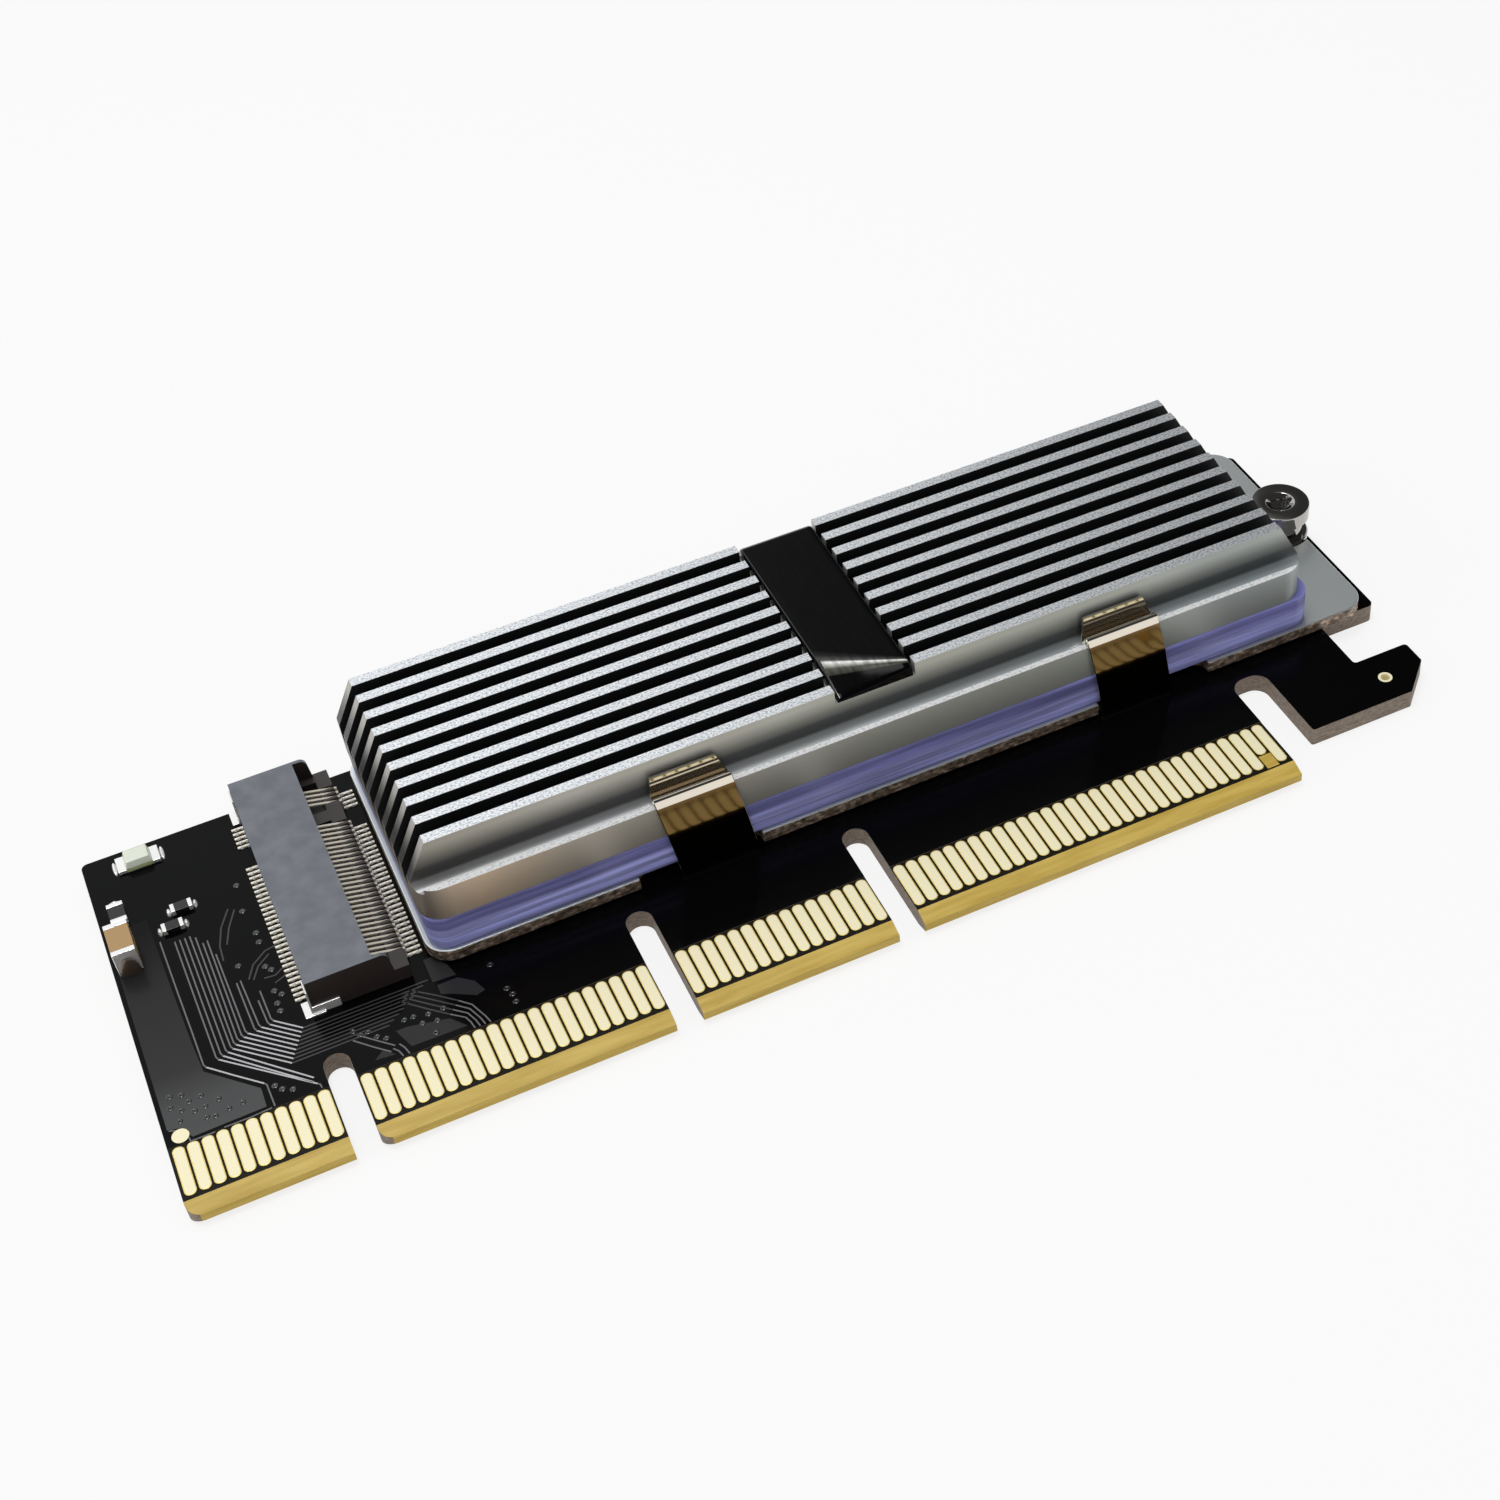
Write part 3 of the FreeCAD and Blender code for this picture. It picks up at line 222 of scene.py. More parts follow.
def make_cover_materials(m):
    """The finned cover: its anodised upper part, its lower wall and its brushed tops, with painted light and
    shade in the colours of the upper part and the lower wall.
    """
    (x0, _, z0), (x1, _, z1) = box_mm("heatsink_cover")
    m["anodised"] = material("cover_anodised", (0.36, 0.355, 0.34), 0.4, 0.4)
    # Painted light and shade by height: bright just above the rim and near the top, dark down in the trough
    # between.
    painted_light_by_height = ramp(m["anodised"], along(m["anodised"], "Z", z0, z1),
                  [(0.0, (0.30, 0.285, 0.26)), (0.30, (0.40, 0.38, 0.355)), (0.40, (0.60, 0.61, 0.63)),
                   (0.50, (0.085, 0.084, 0.085)), (0.62, (0.075, 0.074, 0.074)), (0.74, (0.24, 0.235, 0.22)),
                   (0.92, (0.62, 0.60, 0.565))])
    # Painted light along the cover: darker at its left end, brighter in the middle, bluish towards the right.
    painted_light_along_x = ramp(m["anodised"], along(m["anodised"], "X", x0, x1),
                   [(0.0, (0.74, 0.73, 0.71)), (0.16, (0.94, 0.94, 0.93)), (0.4, (0.95, 0.98, 0.96)),
                    (1.0, (0.86, 0.95, 0.96))])
    drive(m["anodised"], "Base Color", times(m["anodised"], painted_light_by_height, painted_light_along_x))
    bump(m["anodised"], noise(m["anodised"], 5.0, (0.3, 1, 1)), 0.006, 0.5)
    m["skirt"] = material("cover_lower_wall", (0.36, 0.355, 0.34), 0.4, 0.4)
    wall_high = 3.0
    # Painted shade: the lower wall darkens towards its foot.
    wall_painted_shade = ramp(m["skirt"], along(m["skirt"], "Z", z0, z0 + wall_high),
                    [(0.0, (0.30, 0.29, 0.27)), (0.45, (0.37, 0.36, 0.34)), (1.0, (0.46, 0.45, 0.43))])
    # Painted reflection: a warm tint near the left end, where the wall mirrors the gold contacts in front of
    # it, and darker at the very end.
    wall_painted_reflection = ramp(m["skirt"], along(m["skirt"], "X", x0, x1),
                [(0.0, (0.50, 0.44, 0.39)), (0.012, (0.62, 0.53, 0.47)), (0.035, (1.5, 1.24, 1.03)),
                 (0.06, (1.75, 1.4, 1.12)), (0.16, (1.1, 1.02, 0.94)), (0.3, (0.88, 0.88, 0.86)),
                 (0.6, (0.82, 0.88, 0.89)), (1.0, (0.95, 1.05, 1.08))])
    drive(m["skirt"], "Base Color", times(m["skirt"], wall_painted_shade, wall_painted_reflection))
    bump(m["skirt"], noise(m["skirt"], 1.2, (0.5, 1, 1)), 0.03, 0.7)
    m["brushed"] = material("fin_tops", (0.86, 0.875, 0.89), 0.36, 0.93)
    colour_by(m["brushed"], noise(m["brushed"], 7.5, (0.7, 1, 1), 1.0),
              [(0.36, (0.50, 0.54, 0.60)), (0.5, (0.84, 0.865, 0.88)), (0.66, (0.99, 0.99, 0.99))])
    bump(m["brushed"], noise(m["brushed"], 7.0, (0.7, 1, 1), 1.0), 0.01, 0.8)
    # Painted highlight: the fins' rounded edges and the rim's top are near white.
    m["glint"] = material("fin_edges_painted_highlight", (0.95, 0.96, 0.97), 0.3, 0.15)
    colour_by(m["glint"], noise(m["glint"], 5.5, (0.7, 1, 1), 1.0),
              [(0.38, (0.72, 0.74, 0.77)), (0.48, (0.97, 0.98, 0.98)), (0.68, (1.0, 1.0, 1.0))])
    # Painted shade: the walls and floor between the fins are near black.
    m["groove"] = material("groove_in_painted_shade", (0.016, 0.017, 0.018), 0.5, 0.3)


CREASE_START = 3.4            # from the label's near end to its crease, at the left side, in millimetres
CREASE_SLOPE = 0.47           # how much nearer the crease comes for each millimetre to the right


def painted_highlight_along_crease(mat):
    """A painted highlight along the crease where the film folds down at its near end, with a fainter painted
    glow on the turned-down part.
    """
    (x0, y0, _), (x1, _, _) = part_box("label_strip")
    black, wide_left, narrowing = (0.002, 0.002, 0.0025), 0.25, 0.22
    tree = mat.node_tree
    x, y, _ = axes(tree)
    u = link_math(tree, "MULTIPLY", link_math(tree, "SUBTRACT", x, x0), 1 / MM)
    v = link_math(tree, "MULTIPLY", link_math(tree, "SUBTRACT", y, y0), 1 / MM)
    fold = link_math(tree, "SUBTRACT", CREASE_START, link_math(tree, "MULTIPLY", u, CREASE_SLOPE))
    past = link_math(tree, "SUBTRACT", v, fold)
    left = link_math(tree, "SUBTRACT", (x1 - x0) / MM + 0.2, u)
    spread = link_math(tree, "ADD", wide_left, link_math(tree, "MULTIPLY", left, narrowing))
    share = link_math(tree, "DIVIDE", past, link_math(tree, "MULTIPLY", spread, 2.0))
    glow = ramp(mat, link_math(tree, "ADD", 0.5, share),
                [(0.0, black), (0.10, black), (0.14, (0.05, 0.052, 0.04)), (0.32, (0.11, 0.112, 0.09)),
                 (0.44, (0.62, 0.62, 0.58)), (0.52, (1.0, 1.0, 0.98)), (0.60, (0.10, 0.10, 0.095)),
                 (0.80, (0.02, 0.02, 0.02)), (1.0, black)])
    streak = ramp(mat, noise(mat, 1.3, (3.0, 0.4, 1)), [(0.34, 0.55), (0.58, 1.0)])
    drive(mat, "Base Color", times(mat, glow, streak))


def make_mouldings(m):
    """Plastic, silicone, film and the bodies of the chip parts; painted shade on the plastic and the pads, a
    painted highlight on the film.
    """
    m["socket"] = material("socket_plastic", (0.13, 0.142, 0.165), 0.4)
    colour_by(m["socket"], noise(m["socket"], 0.7, detail=7.0),
              [(0.3, (0.125, 0.136, 0.160)), (0.7, (0.182, 0.195, 0.222))])
    bump(m["socket"], noise(m["socket"], 1.3, detail=5.0), 0.02, 0.5)
    # A dark brown copy of the plastic: painted shade inside the mouth and on the faces toward the near edge.
    m["socket_end"] = material("socket_plastic_painted_shade", (0.030, 0.022, 0.020), 0.4)
    m["pad"] = material("silicone_pad", (0.125, 0.125, 0.345), 0.42)
    streak = ramp(m["pad"], noise(m["pad"], 0.55, (0.12, 0.12, 3.2)), [(0.36, 0.7), (0.5, 1.0), (0.66, 1.6)])
    pad_low, pad_high = box_mm("lower_thermal_pad")[0][2], box_mm("upper_thermal_pad")[1][2]
    # Painted light and shade by height: a lighter band across the pads, darker below it and darker above it
    # in the cover's shadow.
    pad_painted_light = ramp(m["pad"], along(m["pad"], "Z", pad_low - 0.3, pad_high),
                [(0.0, (0.13, 0.13, 0.33)), (0.35, (0.31, 0.325, 0.66)), (0.58, (0.33, 0.345, 0.70)),
                 (0.72, (0.15, 0.15, 0.37)), (1.0, (0.17, 0.17, 0.43))])
    drive(m["pad"], "Base Color", times(m["pad"], streak, pad_painted_light))
    bump(m["pad"], noise(m["pad"], 0.6, (0.2, 0.2, 2)), 0.05, 0.5)
    m["label"] = material("label_gloss", (0.002, 0.002, 0.0025), 0.07, Specular_IOR_Level=0.05)
    bump(m["label"], noise(m["label"], 0.25), 0.03, 0.25)
    # The film's crease carries a painted highlight.
    painted_highlight_along_crease(m["label"])
    m["label_bend"] = material("label_gloss_bend", (0.004, 0.004, 0.0045), 0.1, Specular_IOR_Level=0.6)
    m["lens"] = material("led_lens", (0.80, 0.85, 0.72), 0.2)
    m["led_base"] = material("led_base", (0.50, 0.55, 0.30), 0.4)
    m["ceramic"] = material("capacitor_tan", (0.45, 0.285, 0.12), 0.45)
    m["glaze"] = material("resistor_black", (0.010, 0.010, 0.011), 0.22)


def make_materials():
    """Every material of the card, by a short key."""
    m = {}
    make_board_materials(m)
    make_metals(m)
    make_cover_materials(m)
    make_mouldings(m)
    return m


MAT = make_materials()


# ------------------------------------------------------------------ mesh tools
def place(obj, *nodes, slot=None):
    """Ride on the card and stand for CAD nodes, which are hidden; the slot is not used."""
    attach(obj, "root")
    if nodes:
        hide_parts(*nodes)


def mesh_object(name, bm, mats, smooth_angle=None):
    """A new object from a finished bmesh, with one or several materials."""
    mesh = bpy.data.meshes.new(name)
    bm.normal_update()
    bm.to_mesh(mesh)
    bm.free()
    for mat in mats if isinstance(mats, (list, tuple)) else [mats]:
        mesh.materials.append(mat)
    obj = bpy.data.objects.new(name, mesh)
    bpy.context.scene.collection.objects.link(obj)
    if smooth_angle:
        soften(obj, smooth_angle)
    return obj


def soften(obj, degrees):
    """Smooth shading below an angle, weighted by area so that flat faces stay flat beside rounded edges."""
    mesh = obj.data
    mesh.polygons.foreach_set("use_smooth", [True] * len(mesh.polygons))
    facing = [face.normal.copy() * face.area for face in mesh.polygons]
    unit = [face.normal.copy() for face in mesh.polygons]
    around = {}
    for face in mesh.polygons:
        for vertex in face.vertices:
            around.setdefault(vertex, []).append(face.index)
    limit = math.cos(math.radians(degrees))
    corners = []
    for face in mesh.polygons:
        own = unit[face.index]
        for vertex in face.vertices:
            total = Vector()
            for other in around[vertex]:
                if own.dot(unit[other]) > limit:
                    total += facing[other]
            corners.append(total.normalized() if total.length else own)
    mesh.normals_split_custom_set(corners)


def refined(name, node, mats, width_mm, segments=3, longer_mm=0.0, angle=30, smooth=40):
    """A copy of a CAD node's mesh with coplanar triangles joined and its sharp, long edges rounded."""
    bm = bmesh.new()
    bm.from_mesh(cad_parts[node].data)
    bmesh.ops.remove_doubles(bm, verts=bm.verts, dist=1e-7)
    bmesh.ops.dissolve_limit(bm, angle_limit=math.radians(0.5), verts=bm.verts, edges=bm.edges)
    edges = []
    for edge in bm.edges:
        if len(edge.link_faces) == 2 and edge.calc_length() > longer_mm * MM:
            if edge.calc_face_angle(0) > math.radians(angle):
                edges.append(edge)
    if edges:
        bmesh.ops.bevel(bm, geom=edges, offset=width_mm * MM, segments=segments, profile=0.5,
                        affect="EDGES", clamp_overlap=True)
    return mesh_object(name, bm, mats, smooth)


def paint(obj, choose):
    """Give every face the material index that choose(centre, normal) returns."""
    for face in obj.data.polygons:
        face.material_index = choose(face.center, face.normal)


def tube(bm, rings):
    """A closed skin over rings of corners, from the first ring to the last."""
    corners = [[bm.verts.new(spot) for spot in ring] for ring in rings]
    stitch(bm, corners)
    bm.faces.new(corners[0][::-1])
    bm.faces.new(corners[-1])


def stitch(bm, rings):
    """Faces from each ring of vertices to the next."""
    for low, high in zip(rings, rings[1:]):
        for i, vertex in enumerate(low):
            j = (i + 1) % len(low)
            bm.faces.new((vertex, low[j], high[j], high[i]))


def circle(cx, cy, radius, steps):
    """Evenly spaced points round a centre, counter-clockwise."""
    turns = [2 * math.pi * k / steps for k in range(steps)]
    return [(cx + radius * math.cos(turn), cy + radius * math.sin(turn)) for turn in turns]


def prism(bm, outline, z0, z1, edge_mm=0.0):
    """A closed upright prism over a convex outline in metres, its top edge rounded off."""
    centre = Vector((sum(p[0] for p in outline), sum(p[1] for p in outline))) / len(outline)
    edge = edge_mm * MM
    levels = [(z0, 0.0), (z1 - edge, 0.0)]
    if edge:
        levels += [(z1 - 0.3 * edge, 0.3 * edge), (z1, edge)]
    rings = []
    for z, inset in levels:
        spots = [Vector(p) - (Vector(p) - centre).normalized() * inset for p in outline]
        rings.append([(spot.x, spot.y, z) for spot in spots])
    tube(bm, rings)


def rounded_rectangle(x0, y0, x1, y1, radius, steps=6):
    """Corner points of a rounded rectangle, counter-clockwise."""
    points = []
    for cx, cy, start in ((x1 - radius, y0 + radius, -90), (x1 - radius, y1 - radius, 0),
                          (x0 + radius, y1 - radius, 90), (x0 + radius, y0 + radius, 180)):
        for k in range(steps + 1):
            turn = math.radians(start + 90 * k / steps)
            points.append((cx + radius * math.cos(turn), cy + radius * math.sin(turn)))
    return points


def islands(node):
    """The boxes of the separate solids of a CAD node, as (low, high) corners."""
    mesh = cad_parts[node].data
    parent = list(range(len(mesh.vertices)))

    def find(a):
        while parent[a] != a:
            parent[a] = parent[parent[a]]
            a = parent[a]
        return a

    seen = {}
    for v in mesh.vertices:
        key = tuple(round(c * 1e7) for c in v.co)
        if key in seen:
            parent[find(v.index)] = find(seen[key])
        seen[key] = v.index
    for edge in mesh.edges:
        parent[find(edge.vertices[0])] = find(edge.vertices[1])
    boxes = {}
    for v in mesh.vertices:
        low, high = boxes.setdefault(find(v.index), ([9, 9, 9], [-9, -9, -9]))
        for axis in range(3):
            low[axis] = min(low[axis], v.co[axis])
            high[axis] = max(high[axis], v.co[axis])
    return sorted(boxes.values())


# ------------------------------------------------------------------ board
TRACE_HIGH = 0.022            # how far a line stands out under the lacquer, in millimetres
PLANE_HIGH = 0.008            # how far a copper plane or a bare patch does


def on_board(x_mm, y_mm):
    """A spot measured from the board's near left corner, in metres."""
    return (BOARD_LOW[0] + x_mm * MM, BOARD_LOW[1] + y_mm * MM)


def dress_board():
    """The CAD board itself: lacquer on its faces, laminate at its cut edges, and near-black painted shade on
    the sunk faces between the edge contacts.
    """
    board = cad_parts["circuit_board"]
    board.data.materials.clear()
    for key in ("mask", "edge", "bevel", "window"):
        board.data.materials.append(MAT[key])
    lacquer, laminate, bevel, window = range(4)

    def choose(centre, normal):
        if abs(normal.z) > 0.999:
            # Sunk faces take the painted shade, the rest the lacquer.
            sunk = BOARD_LOW[2] + 0.02 * MM < centre.z < TOP - 0.03 * MM
            return window if sunk else lacquer
        at_contact_edge = centre.y < BOARD_LOW[1] + 0.05 * MM
        return bevel if at_contact_edge or abs(normal.z) > 0.1 else laminate

    paint(board, choose)


def ribbon(bm, points, width_mm, height_mm):
    """A flat strip along a line of spots on the board."""
    least_mitre = 0.4         # keeps a sharp bend from growing a spike
    spots = [Vector(p) for p in points]
    sides = []
    for i, spot in enumerate(spots):
        before = spots[max(i - 1, 0)]
        after = spots[min(i + 1, len(spots) - 1)]
        first = (spot - before).normalized() if spot != before else (after - spot).normalized()
        second = (after - spot).normalized() if spot != after else first
        normal = Vector((-first.y - second.y, first.x + second.x)).normalized()
        mitre = max(least_mitre, normal.dot(Vector((-first.y, first.x))))
        sides.append(normal * (width_mm * MM / 2 / mitre))
    high = TOP + height_mm * MM
    sections = []
    for spot, side in zip(spots, sides):
        left, right = spot + side, spot - side
        sections.append([(right.x, right.y, TOP), (right.x, right.y, high), (left.x, left.y, high),
                         (left.x, left.y, TOP)])
    tube(bm, sections[::-1])


def mixed(a, b, t):
    """The spot that lies a share of the way from one spot to another."""
    return (a[0] + (b[0] - a[0]) * t, a[1] + (b[1] - a[1]) * t)


# Spots on the board are measured from its near left corner. A column of the bus has its X at the top and at
# the bend, and BUS_TOPS has the Y of each column's top. The first columns end early, at the contacts.
EARLY_FEET = [(10.5, 6.45), (10.3, 6.7), (10.42, 7.06)]
BUS_TOPS = [23.9, 23.9, 23.9, 23.9, 23.6, 22.8, 22.9, 21.3, 17.9, 18.0, 15.6, 16.4]
BUS_COLUMNS = [(4.66, 4.82), (5.02, 5.18), (5.39, 5.57), (5.75, 5.95), (6.11, 6.23), (6.47, 6.54),
               (6.80, 6.88), (7.06, 7.21), (7.73, 7.84), (8.03, 8.20), (8.72, 8.80), (9.04, 9.10)]


def bus_lines():
    """The parallel signal lines: down the left, slanting to the key, then along under the socket."""
    steep, slanted, level = [], [], []
    slope = 0.945
    for i, ((top, low), start) in enumerate(zip(BUS_COLUMNS, BUS_TOPS)):
        rise = 16.37 + 0.51 * i
        bend = (low, rise - slope * low)
        steep.append([(top, start), mixed((top, start), bend, 0.5), (bend[0], bend[1] + 0.2),
                      (bend[0] + 0.12, bend[1] - 0.1)])
        if i < len(EARLY_FEET):
            foot = EARLY_FEET[i]
        else:
            foot_y = 9.0 + 0.333 * (i - len(EARLY_FEET))
            foot = ((rise - foot_y) / slope, foot_y)
            level.append([foot, (12.0, foot_y), (13.5 + 0.35 * i, foot_y), (15.0 + 0.45 * i, foot_y)])
        slanted.append([(bend[0] + 0.1, bend[1] - 0.08), mixed(bend, foot, 0.5), foot])
    return steep, slanted, level


def copper_traces():
    """The signal lines that stand out under the lacquer; the slanted ones carry a painted highlight and the
    level ones painted shade.
    """
    steep, slanted, level = bus_lines()
    steep += [[(3.69, 24.4), (3.76, 19.0), (3.84, 15.0), (3.88, 11.75), (4.02, 11.45)],
              [(7.24, 8.2), (7.38, 8.0), (7.4, 6.9), (7.42, 5.95)],
              [(10.5, 6.45), (10.66, 6.3), (10.7, 5.95)],
              [(16.0, 6.9), (16.3, 6.5), (16.45, 5.95)], [(16.5, 7.1), (16.75, 6.6), (16.9, 5.95)],
              [(13.7, 8.9), (14.9, 7.6), (15.8, 6.7)], [(14.1, 9.25), (15.3, 8.0), (16.2, 7.1)]]
    slanted += [[(4.0, 11.47), (5.6, 9.83), (7.24, 8.2)]]
    level += [[(8.9, 25.2), (8.0, 23.6), (7.5, 21.9), (7.4, 20.4)], [(9.3, 24.9), (8.5, 23.3), (8.0, 21.8)],
              [(8.6, 17.8), (9.2, 19.0), (10.3, 19.9), (11.3, 20.1)],
              [(8.9, 17.6), (9.5, 18.7), (10.5, 19.5)],
              [(9.6, 17.4), (10.4, 17.3), (11.3, 17.9)], [(10.2, 16.6), (10.9, 16.9), (11.4, 17.2)]]
    for k in range(4):
        step = 0.3 * k
        level.append([(17.6 + step, 10.75 + 0.22 * k), (19.2 + step, 9.1 + step), (20.4 + step, 7.95 + step)])
        steep.append([(20.35 + step, 8.0 + step), (21.3 + 0.25 * k, 7.15 + step), (21.5 + 0.36 * k, 6.6),
                      (21.6 + 0.38 * k, 5.95)])
    # The slants get a painted highlight and the rows painted shade.
    for name, key, lines, width in (("trace_columns", "trace", steep, 0.105),
                                    ("trace_slants", "trace_painted_highlight", slanted, 0.115),
                                    ("trace_rows", "trace_painted_shade", level, 0.12)):
        bm = bmesh.new()
        for line in lines:
            ribbon(bm, [on_board(*p) for p in line], width, TRACE_HIGH)
        place(mesh_object(name, bm, MAT[key]), slot="board_lacquer")


def via(bm, x, y, radius_mm=0.25, steps=14):
    """A ring-shaped swelling of lacquer over a plated hole."""
    cx, cy = on_board(x, y)
    profile = [(1.0, 0.0), (0.85, 0.03), (0.6, 0.038), (0.4, 0.022), (0.25, 0.008)]
    tube(bm, [[(px, py, TOP + rise * MM) for px, py in circle(cx, cy, radius_mm * share * MM, steps)]
              for share, rise in profile])


VIAS = [(1.11, 10.15), (1.88, 9.93), (2.22, 9.16), (3.07, 9.27), (3.13, 8.22), (4.1, 8.41), (5.5, 7.34),
        (0.95, 9.17), (1.59, 8.64), (2.4, 8.18), (3.01, 7.27), (3.58, 7.1), (1.29, 7.79), (4.55, 7.28),
        (7.86, 7.65), (8.25, 7.14), (8.9, 6.78), (10.03, 27.2), (9.8, 24.46), (10.17, 21.93),
        (10.15, 20.96), (9.96, 18.47), (10.28, 17.98), (9.97, 15.93), (10.37, 15.39), (9.88, 14.72),
        (8.24, 19.43), (9.89, 13.94), (13.93, 9.7), (14.32, 9.18), (14.86, 9.18), (15.31, 8.48),
        (15.84, 8.03), (17.42, 9.0), (18.06, 8.96), (18.47, 8.11), (19.08, 8.7), (19.48, 7.86),
        (19.07, 6.86), (20.18, 8.71), (24.33, 10.93), (24.7, 8.29), (24.9, 7.62), (24.9, 6.87)]


def vias():
    """All the plated holes under the lacquer, as one piece."""
    bm = bmesh.new()
    for x, y in VIAS:
        via(bm, x, y)
    place(mesh_object("lacquered_vias", bm, MAT["via"], 60), slot="board_lacquer")


def ground_planes():
    """Areas where the lacquer lies over a copper plane and looks a little lighter; the corner one carries a
    painted sheen, and one of the others is a painted reflection.
    """
    corner = [(0.35, 7.4), (1.2, 7.2), (1.8, 6.1), (6.9, 6.2), (6.95, 7.9), (3.75, 11.2), (3.6, 14.0),
              (3.4, 21.2), (3.3, 27.0), (0.35, 27.0)]
    others = [[(14.6, 6.5), (16.0, 6.35), (15.4, 7.2)],
              [(17.2, 6.5), (21.2, 6.4), (20.3, 7.6), (17.4, 8.3), (16.6, 8.3)],
              # This patch is a painted reflection on the lacquer over a copper plane.
              [(20.4, 10.0), (21.2, 9.6), (22.6, 8.7), (23.3, 8.9), (22.9, 10.0), (21.9, 10.9), (20.4, 10.9)],
              [(20.2, 11.3), (21.9, 11.2), (21.6, 12.4), (20.9, 13.6), (20.2, 13.6)]]
    for name, key, areas in (("corner_plane_painted_sheen", "lit_mask", [corner]), ("other_planes", "copper_mask_and_reflection", others)):
        bm = bmesh.new()
        for area in areas:
            corners = [on_board(*p) for p in area]
            turn = sum((b[0] - a[0]) * (b[1] + a[1]) for a, b in zip(corners, corners[1:] + corners[:1]))
            if turn > 0:
                corners.reverse()
            prism(bm, corners, TOP, TOP + PLANE_HIGH * MM)
        place(mesh_object(name, bm, MAT[key]), slot="board_lacquer")


def mask_border():
    """The thin raised edge of the lacquer above the first contacts."""
    bm = bmesh.new()
    for line in ([(0.45, 7.3), (1.1, 7.02), (1.5, 6.6), (1.6, 5.78), (3.25, 5.76)],
                 [(3.9, 5.84), (5.7, 5.82), (7.2, 5.92)]):
        ribbon(bm, [on_board(*p) for p in line], 0.1, 0.02)
    place(mesh_object("lacquer_border", bm, MAT["trace"]), slot="board_lacquer")


def bare_patch():
    """Bare laminate between the short last-but-one contact and the bevel."""
    contacts = islands("front_edge_contacts")
    nearest = min(low[1] for low, _ in contacts)
    side, overlap, gap = 0.13 * MM, 0.2 * MM, 0.12 * MM
    bm = bmesh.new()
    for low, high in contacts:
        if low[1] > nearest + 0.4 * MM:
            x0, x1, y0, y1 = low[0] - side, high[0] + side, nearest - overlap, low[1] - gap
            prism(bm, [(x0, y0), (x1, y0), (x1, y1), (x0, y1)], TOP, TOP + PLANE_HIGH * MM)
    if bm.verts:
        place(mesh_object("bare_laminate_patch", bm, MAT["bevel"]), slot="board_lacquer")


def gold_fingers(name, node):
    """Round-ended contacts, a little wider than the solids, with a softly rounded edge in a deeper, darker
    gold, which is painted shade.
    """
    wider, roundness = 0.05 * MM, 0.46
    bm = bmesh.new()
    for low, high in islands(node):
        x0, x1 = low[0] - wider, high[0] + wider
        rings = []
        for z, inset_mm in ((low[2], 0.0), (high[2] - 0.012 * MM, 0.0), (high[2], 0.07), (high[2], 0.09)):
            e = inset_mm * MM
            ring = rounded_rectangle(x0 + e, low[1] + e, x1 - e, high[1] - e, (x1 - x0) * roundness - e)
            rings.append([(x, y, z) for x, y in ring])
        tube(bm, rings)
    obj = mesh_object(name, bm, [MAT["gold"], MAT["gold_side"]], 30)
    paint(obj, lambda centre, normal: 0 if abs(normal.z) > 0.999 else 1)
    place(obj, node, slot="gold_plating")


# ------------------------------------------------------------------ heatsink
def dress_cover():
    """The cover: fin tops brushed, a painted highlight on the fins' edges and the rim, painted shade on the
    walls and floor between the fins.
    """
    anodised, brushed, groove, glint, skirt = range(5)
    low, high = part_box("heatsink_cover")
    trough = low[2] + 1.8 * MM                   # the floor between the fins
    rim = low[2] + 2.95 * MM                     # the top of the lower wall
    bank = (high[1] - low[1]) / 2 - 1.55 * MM    # from the middle to the outer fins
    middle = (high[1] + low[1]) / 2
    cover = refined("finned_cover", "heatsink_cover",
                    [MAT[key] for key in ("anodised", "brushed", "groove", "glint", "skirt")],
                    0.12, longer_mm=1.0, angle=40, smooth=50)

    def choose(centre, normal):
        across = abs(centre.y - middle)
        # The fins' edges and the rim's top take the painted highlight.
        if centre.z > high[2] - 0.13 * MM and normal.z > 0.5:
            return brushed if normal.z > 0.98 else glint
        if normal.z > 0.5 and abs(centre.z - rim) < 0.14 * MM and across > bank + 0.9 * MM:
            return glint
        if centre.z < rim - 0.3 * MM and abs(normal.z) < 0.5:
            return skirt
        # Walls and floor between the fins take the painted shade.
        if centre.z > trough - 0.1 * MM and across < bank - 0.1 * MM and abs(normal.y) > 0.7:
            return groove
        if abs(centre.z - trough) < 0.2 * MM and across < bank:
            return groove
        return anodised

    paint(cover, choose)
    place(cover, "heatsink_cover", slot="dark_aluminium")


def heatsink():
    """The finned cover, the stamped sheet under it, the two pads between them and the film on top."""
    dress_cover()
    plate = refined("stamped_plate", "base_plate", [MAT["plate"], MAT["plate_edge"]], 0.12, angle=40)
    paint(plate, lambda centre, normal: 0 if abs(normal.z) > 0.6 else 1)
    place(plate, "base_plate", slot="bare_aluminium")
    for node in ("lower_thermal_pad", "upper_thermal_pad"):
        pad = refined(node + "_soft", node, MAT["pad"], 0.12, angle=40)
        place(pad, node, slot="thermal_pad")
    label_film()


def film_rows(crease, soft, reach):
    """Places along the film, each with how far its rounded ends come down there, in millimetres."""
    lip, roll = 0.14, 0.9
    rows = [(0.0, 0.16), (0.05, 0.05), (lip, 0.0)]
    rows += [(lip + (crease - soft - lip) * k / 5, 0.0) for k in range(1, 6)]
    rows += [(crease - soft + 2 * soft * k / 8, 0.0) for k in range(1, 9)]
    rows += [(crease + soft + (reach - roll - crease - soft) * k / 10, 0.0) for k in range(1, 11)]
    turns = [math.pi * k / 12 for k in range(1, 7)]
    return rows + [(reach - roll + roll * math.sin(turn), roll - roll * math.cos(turn)) for turn in turns]


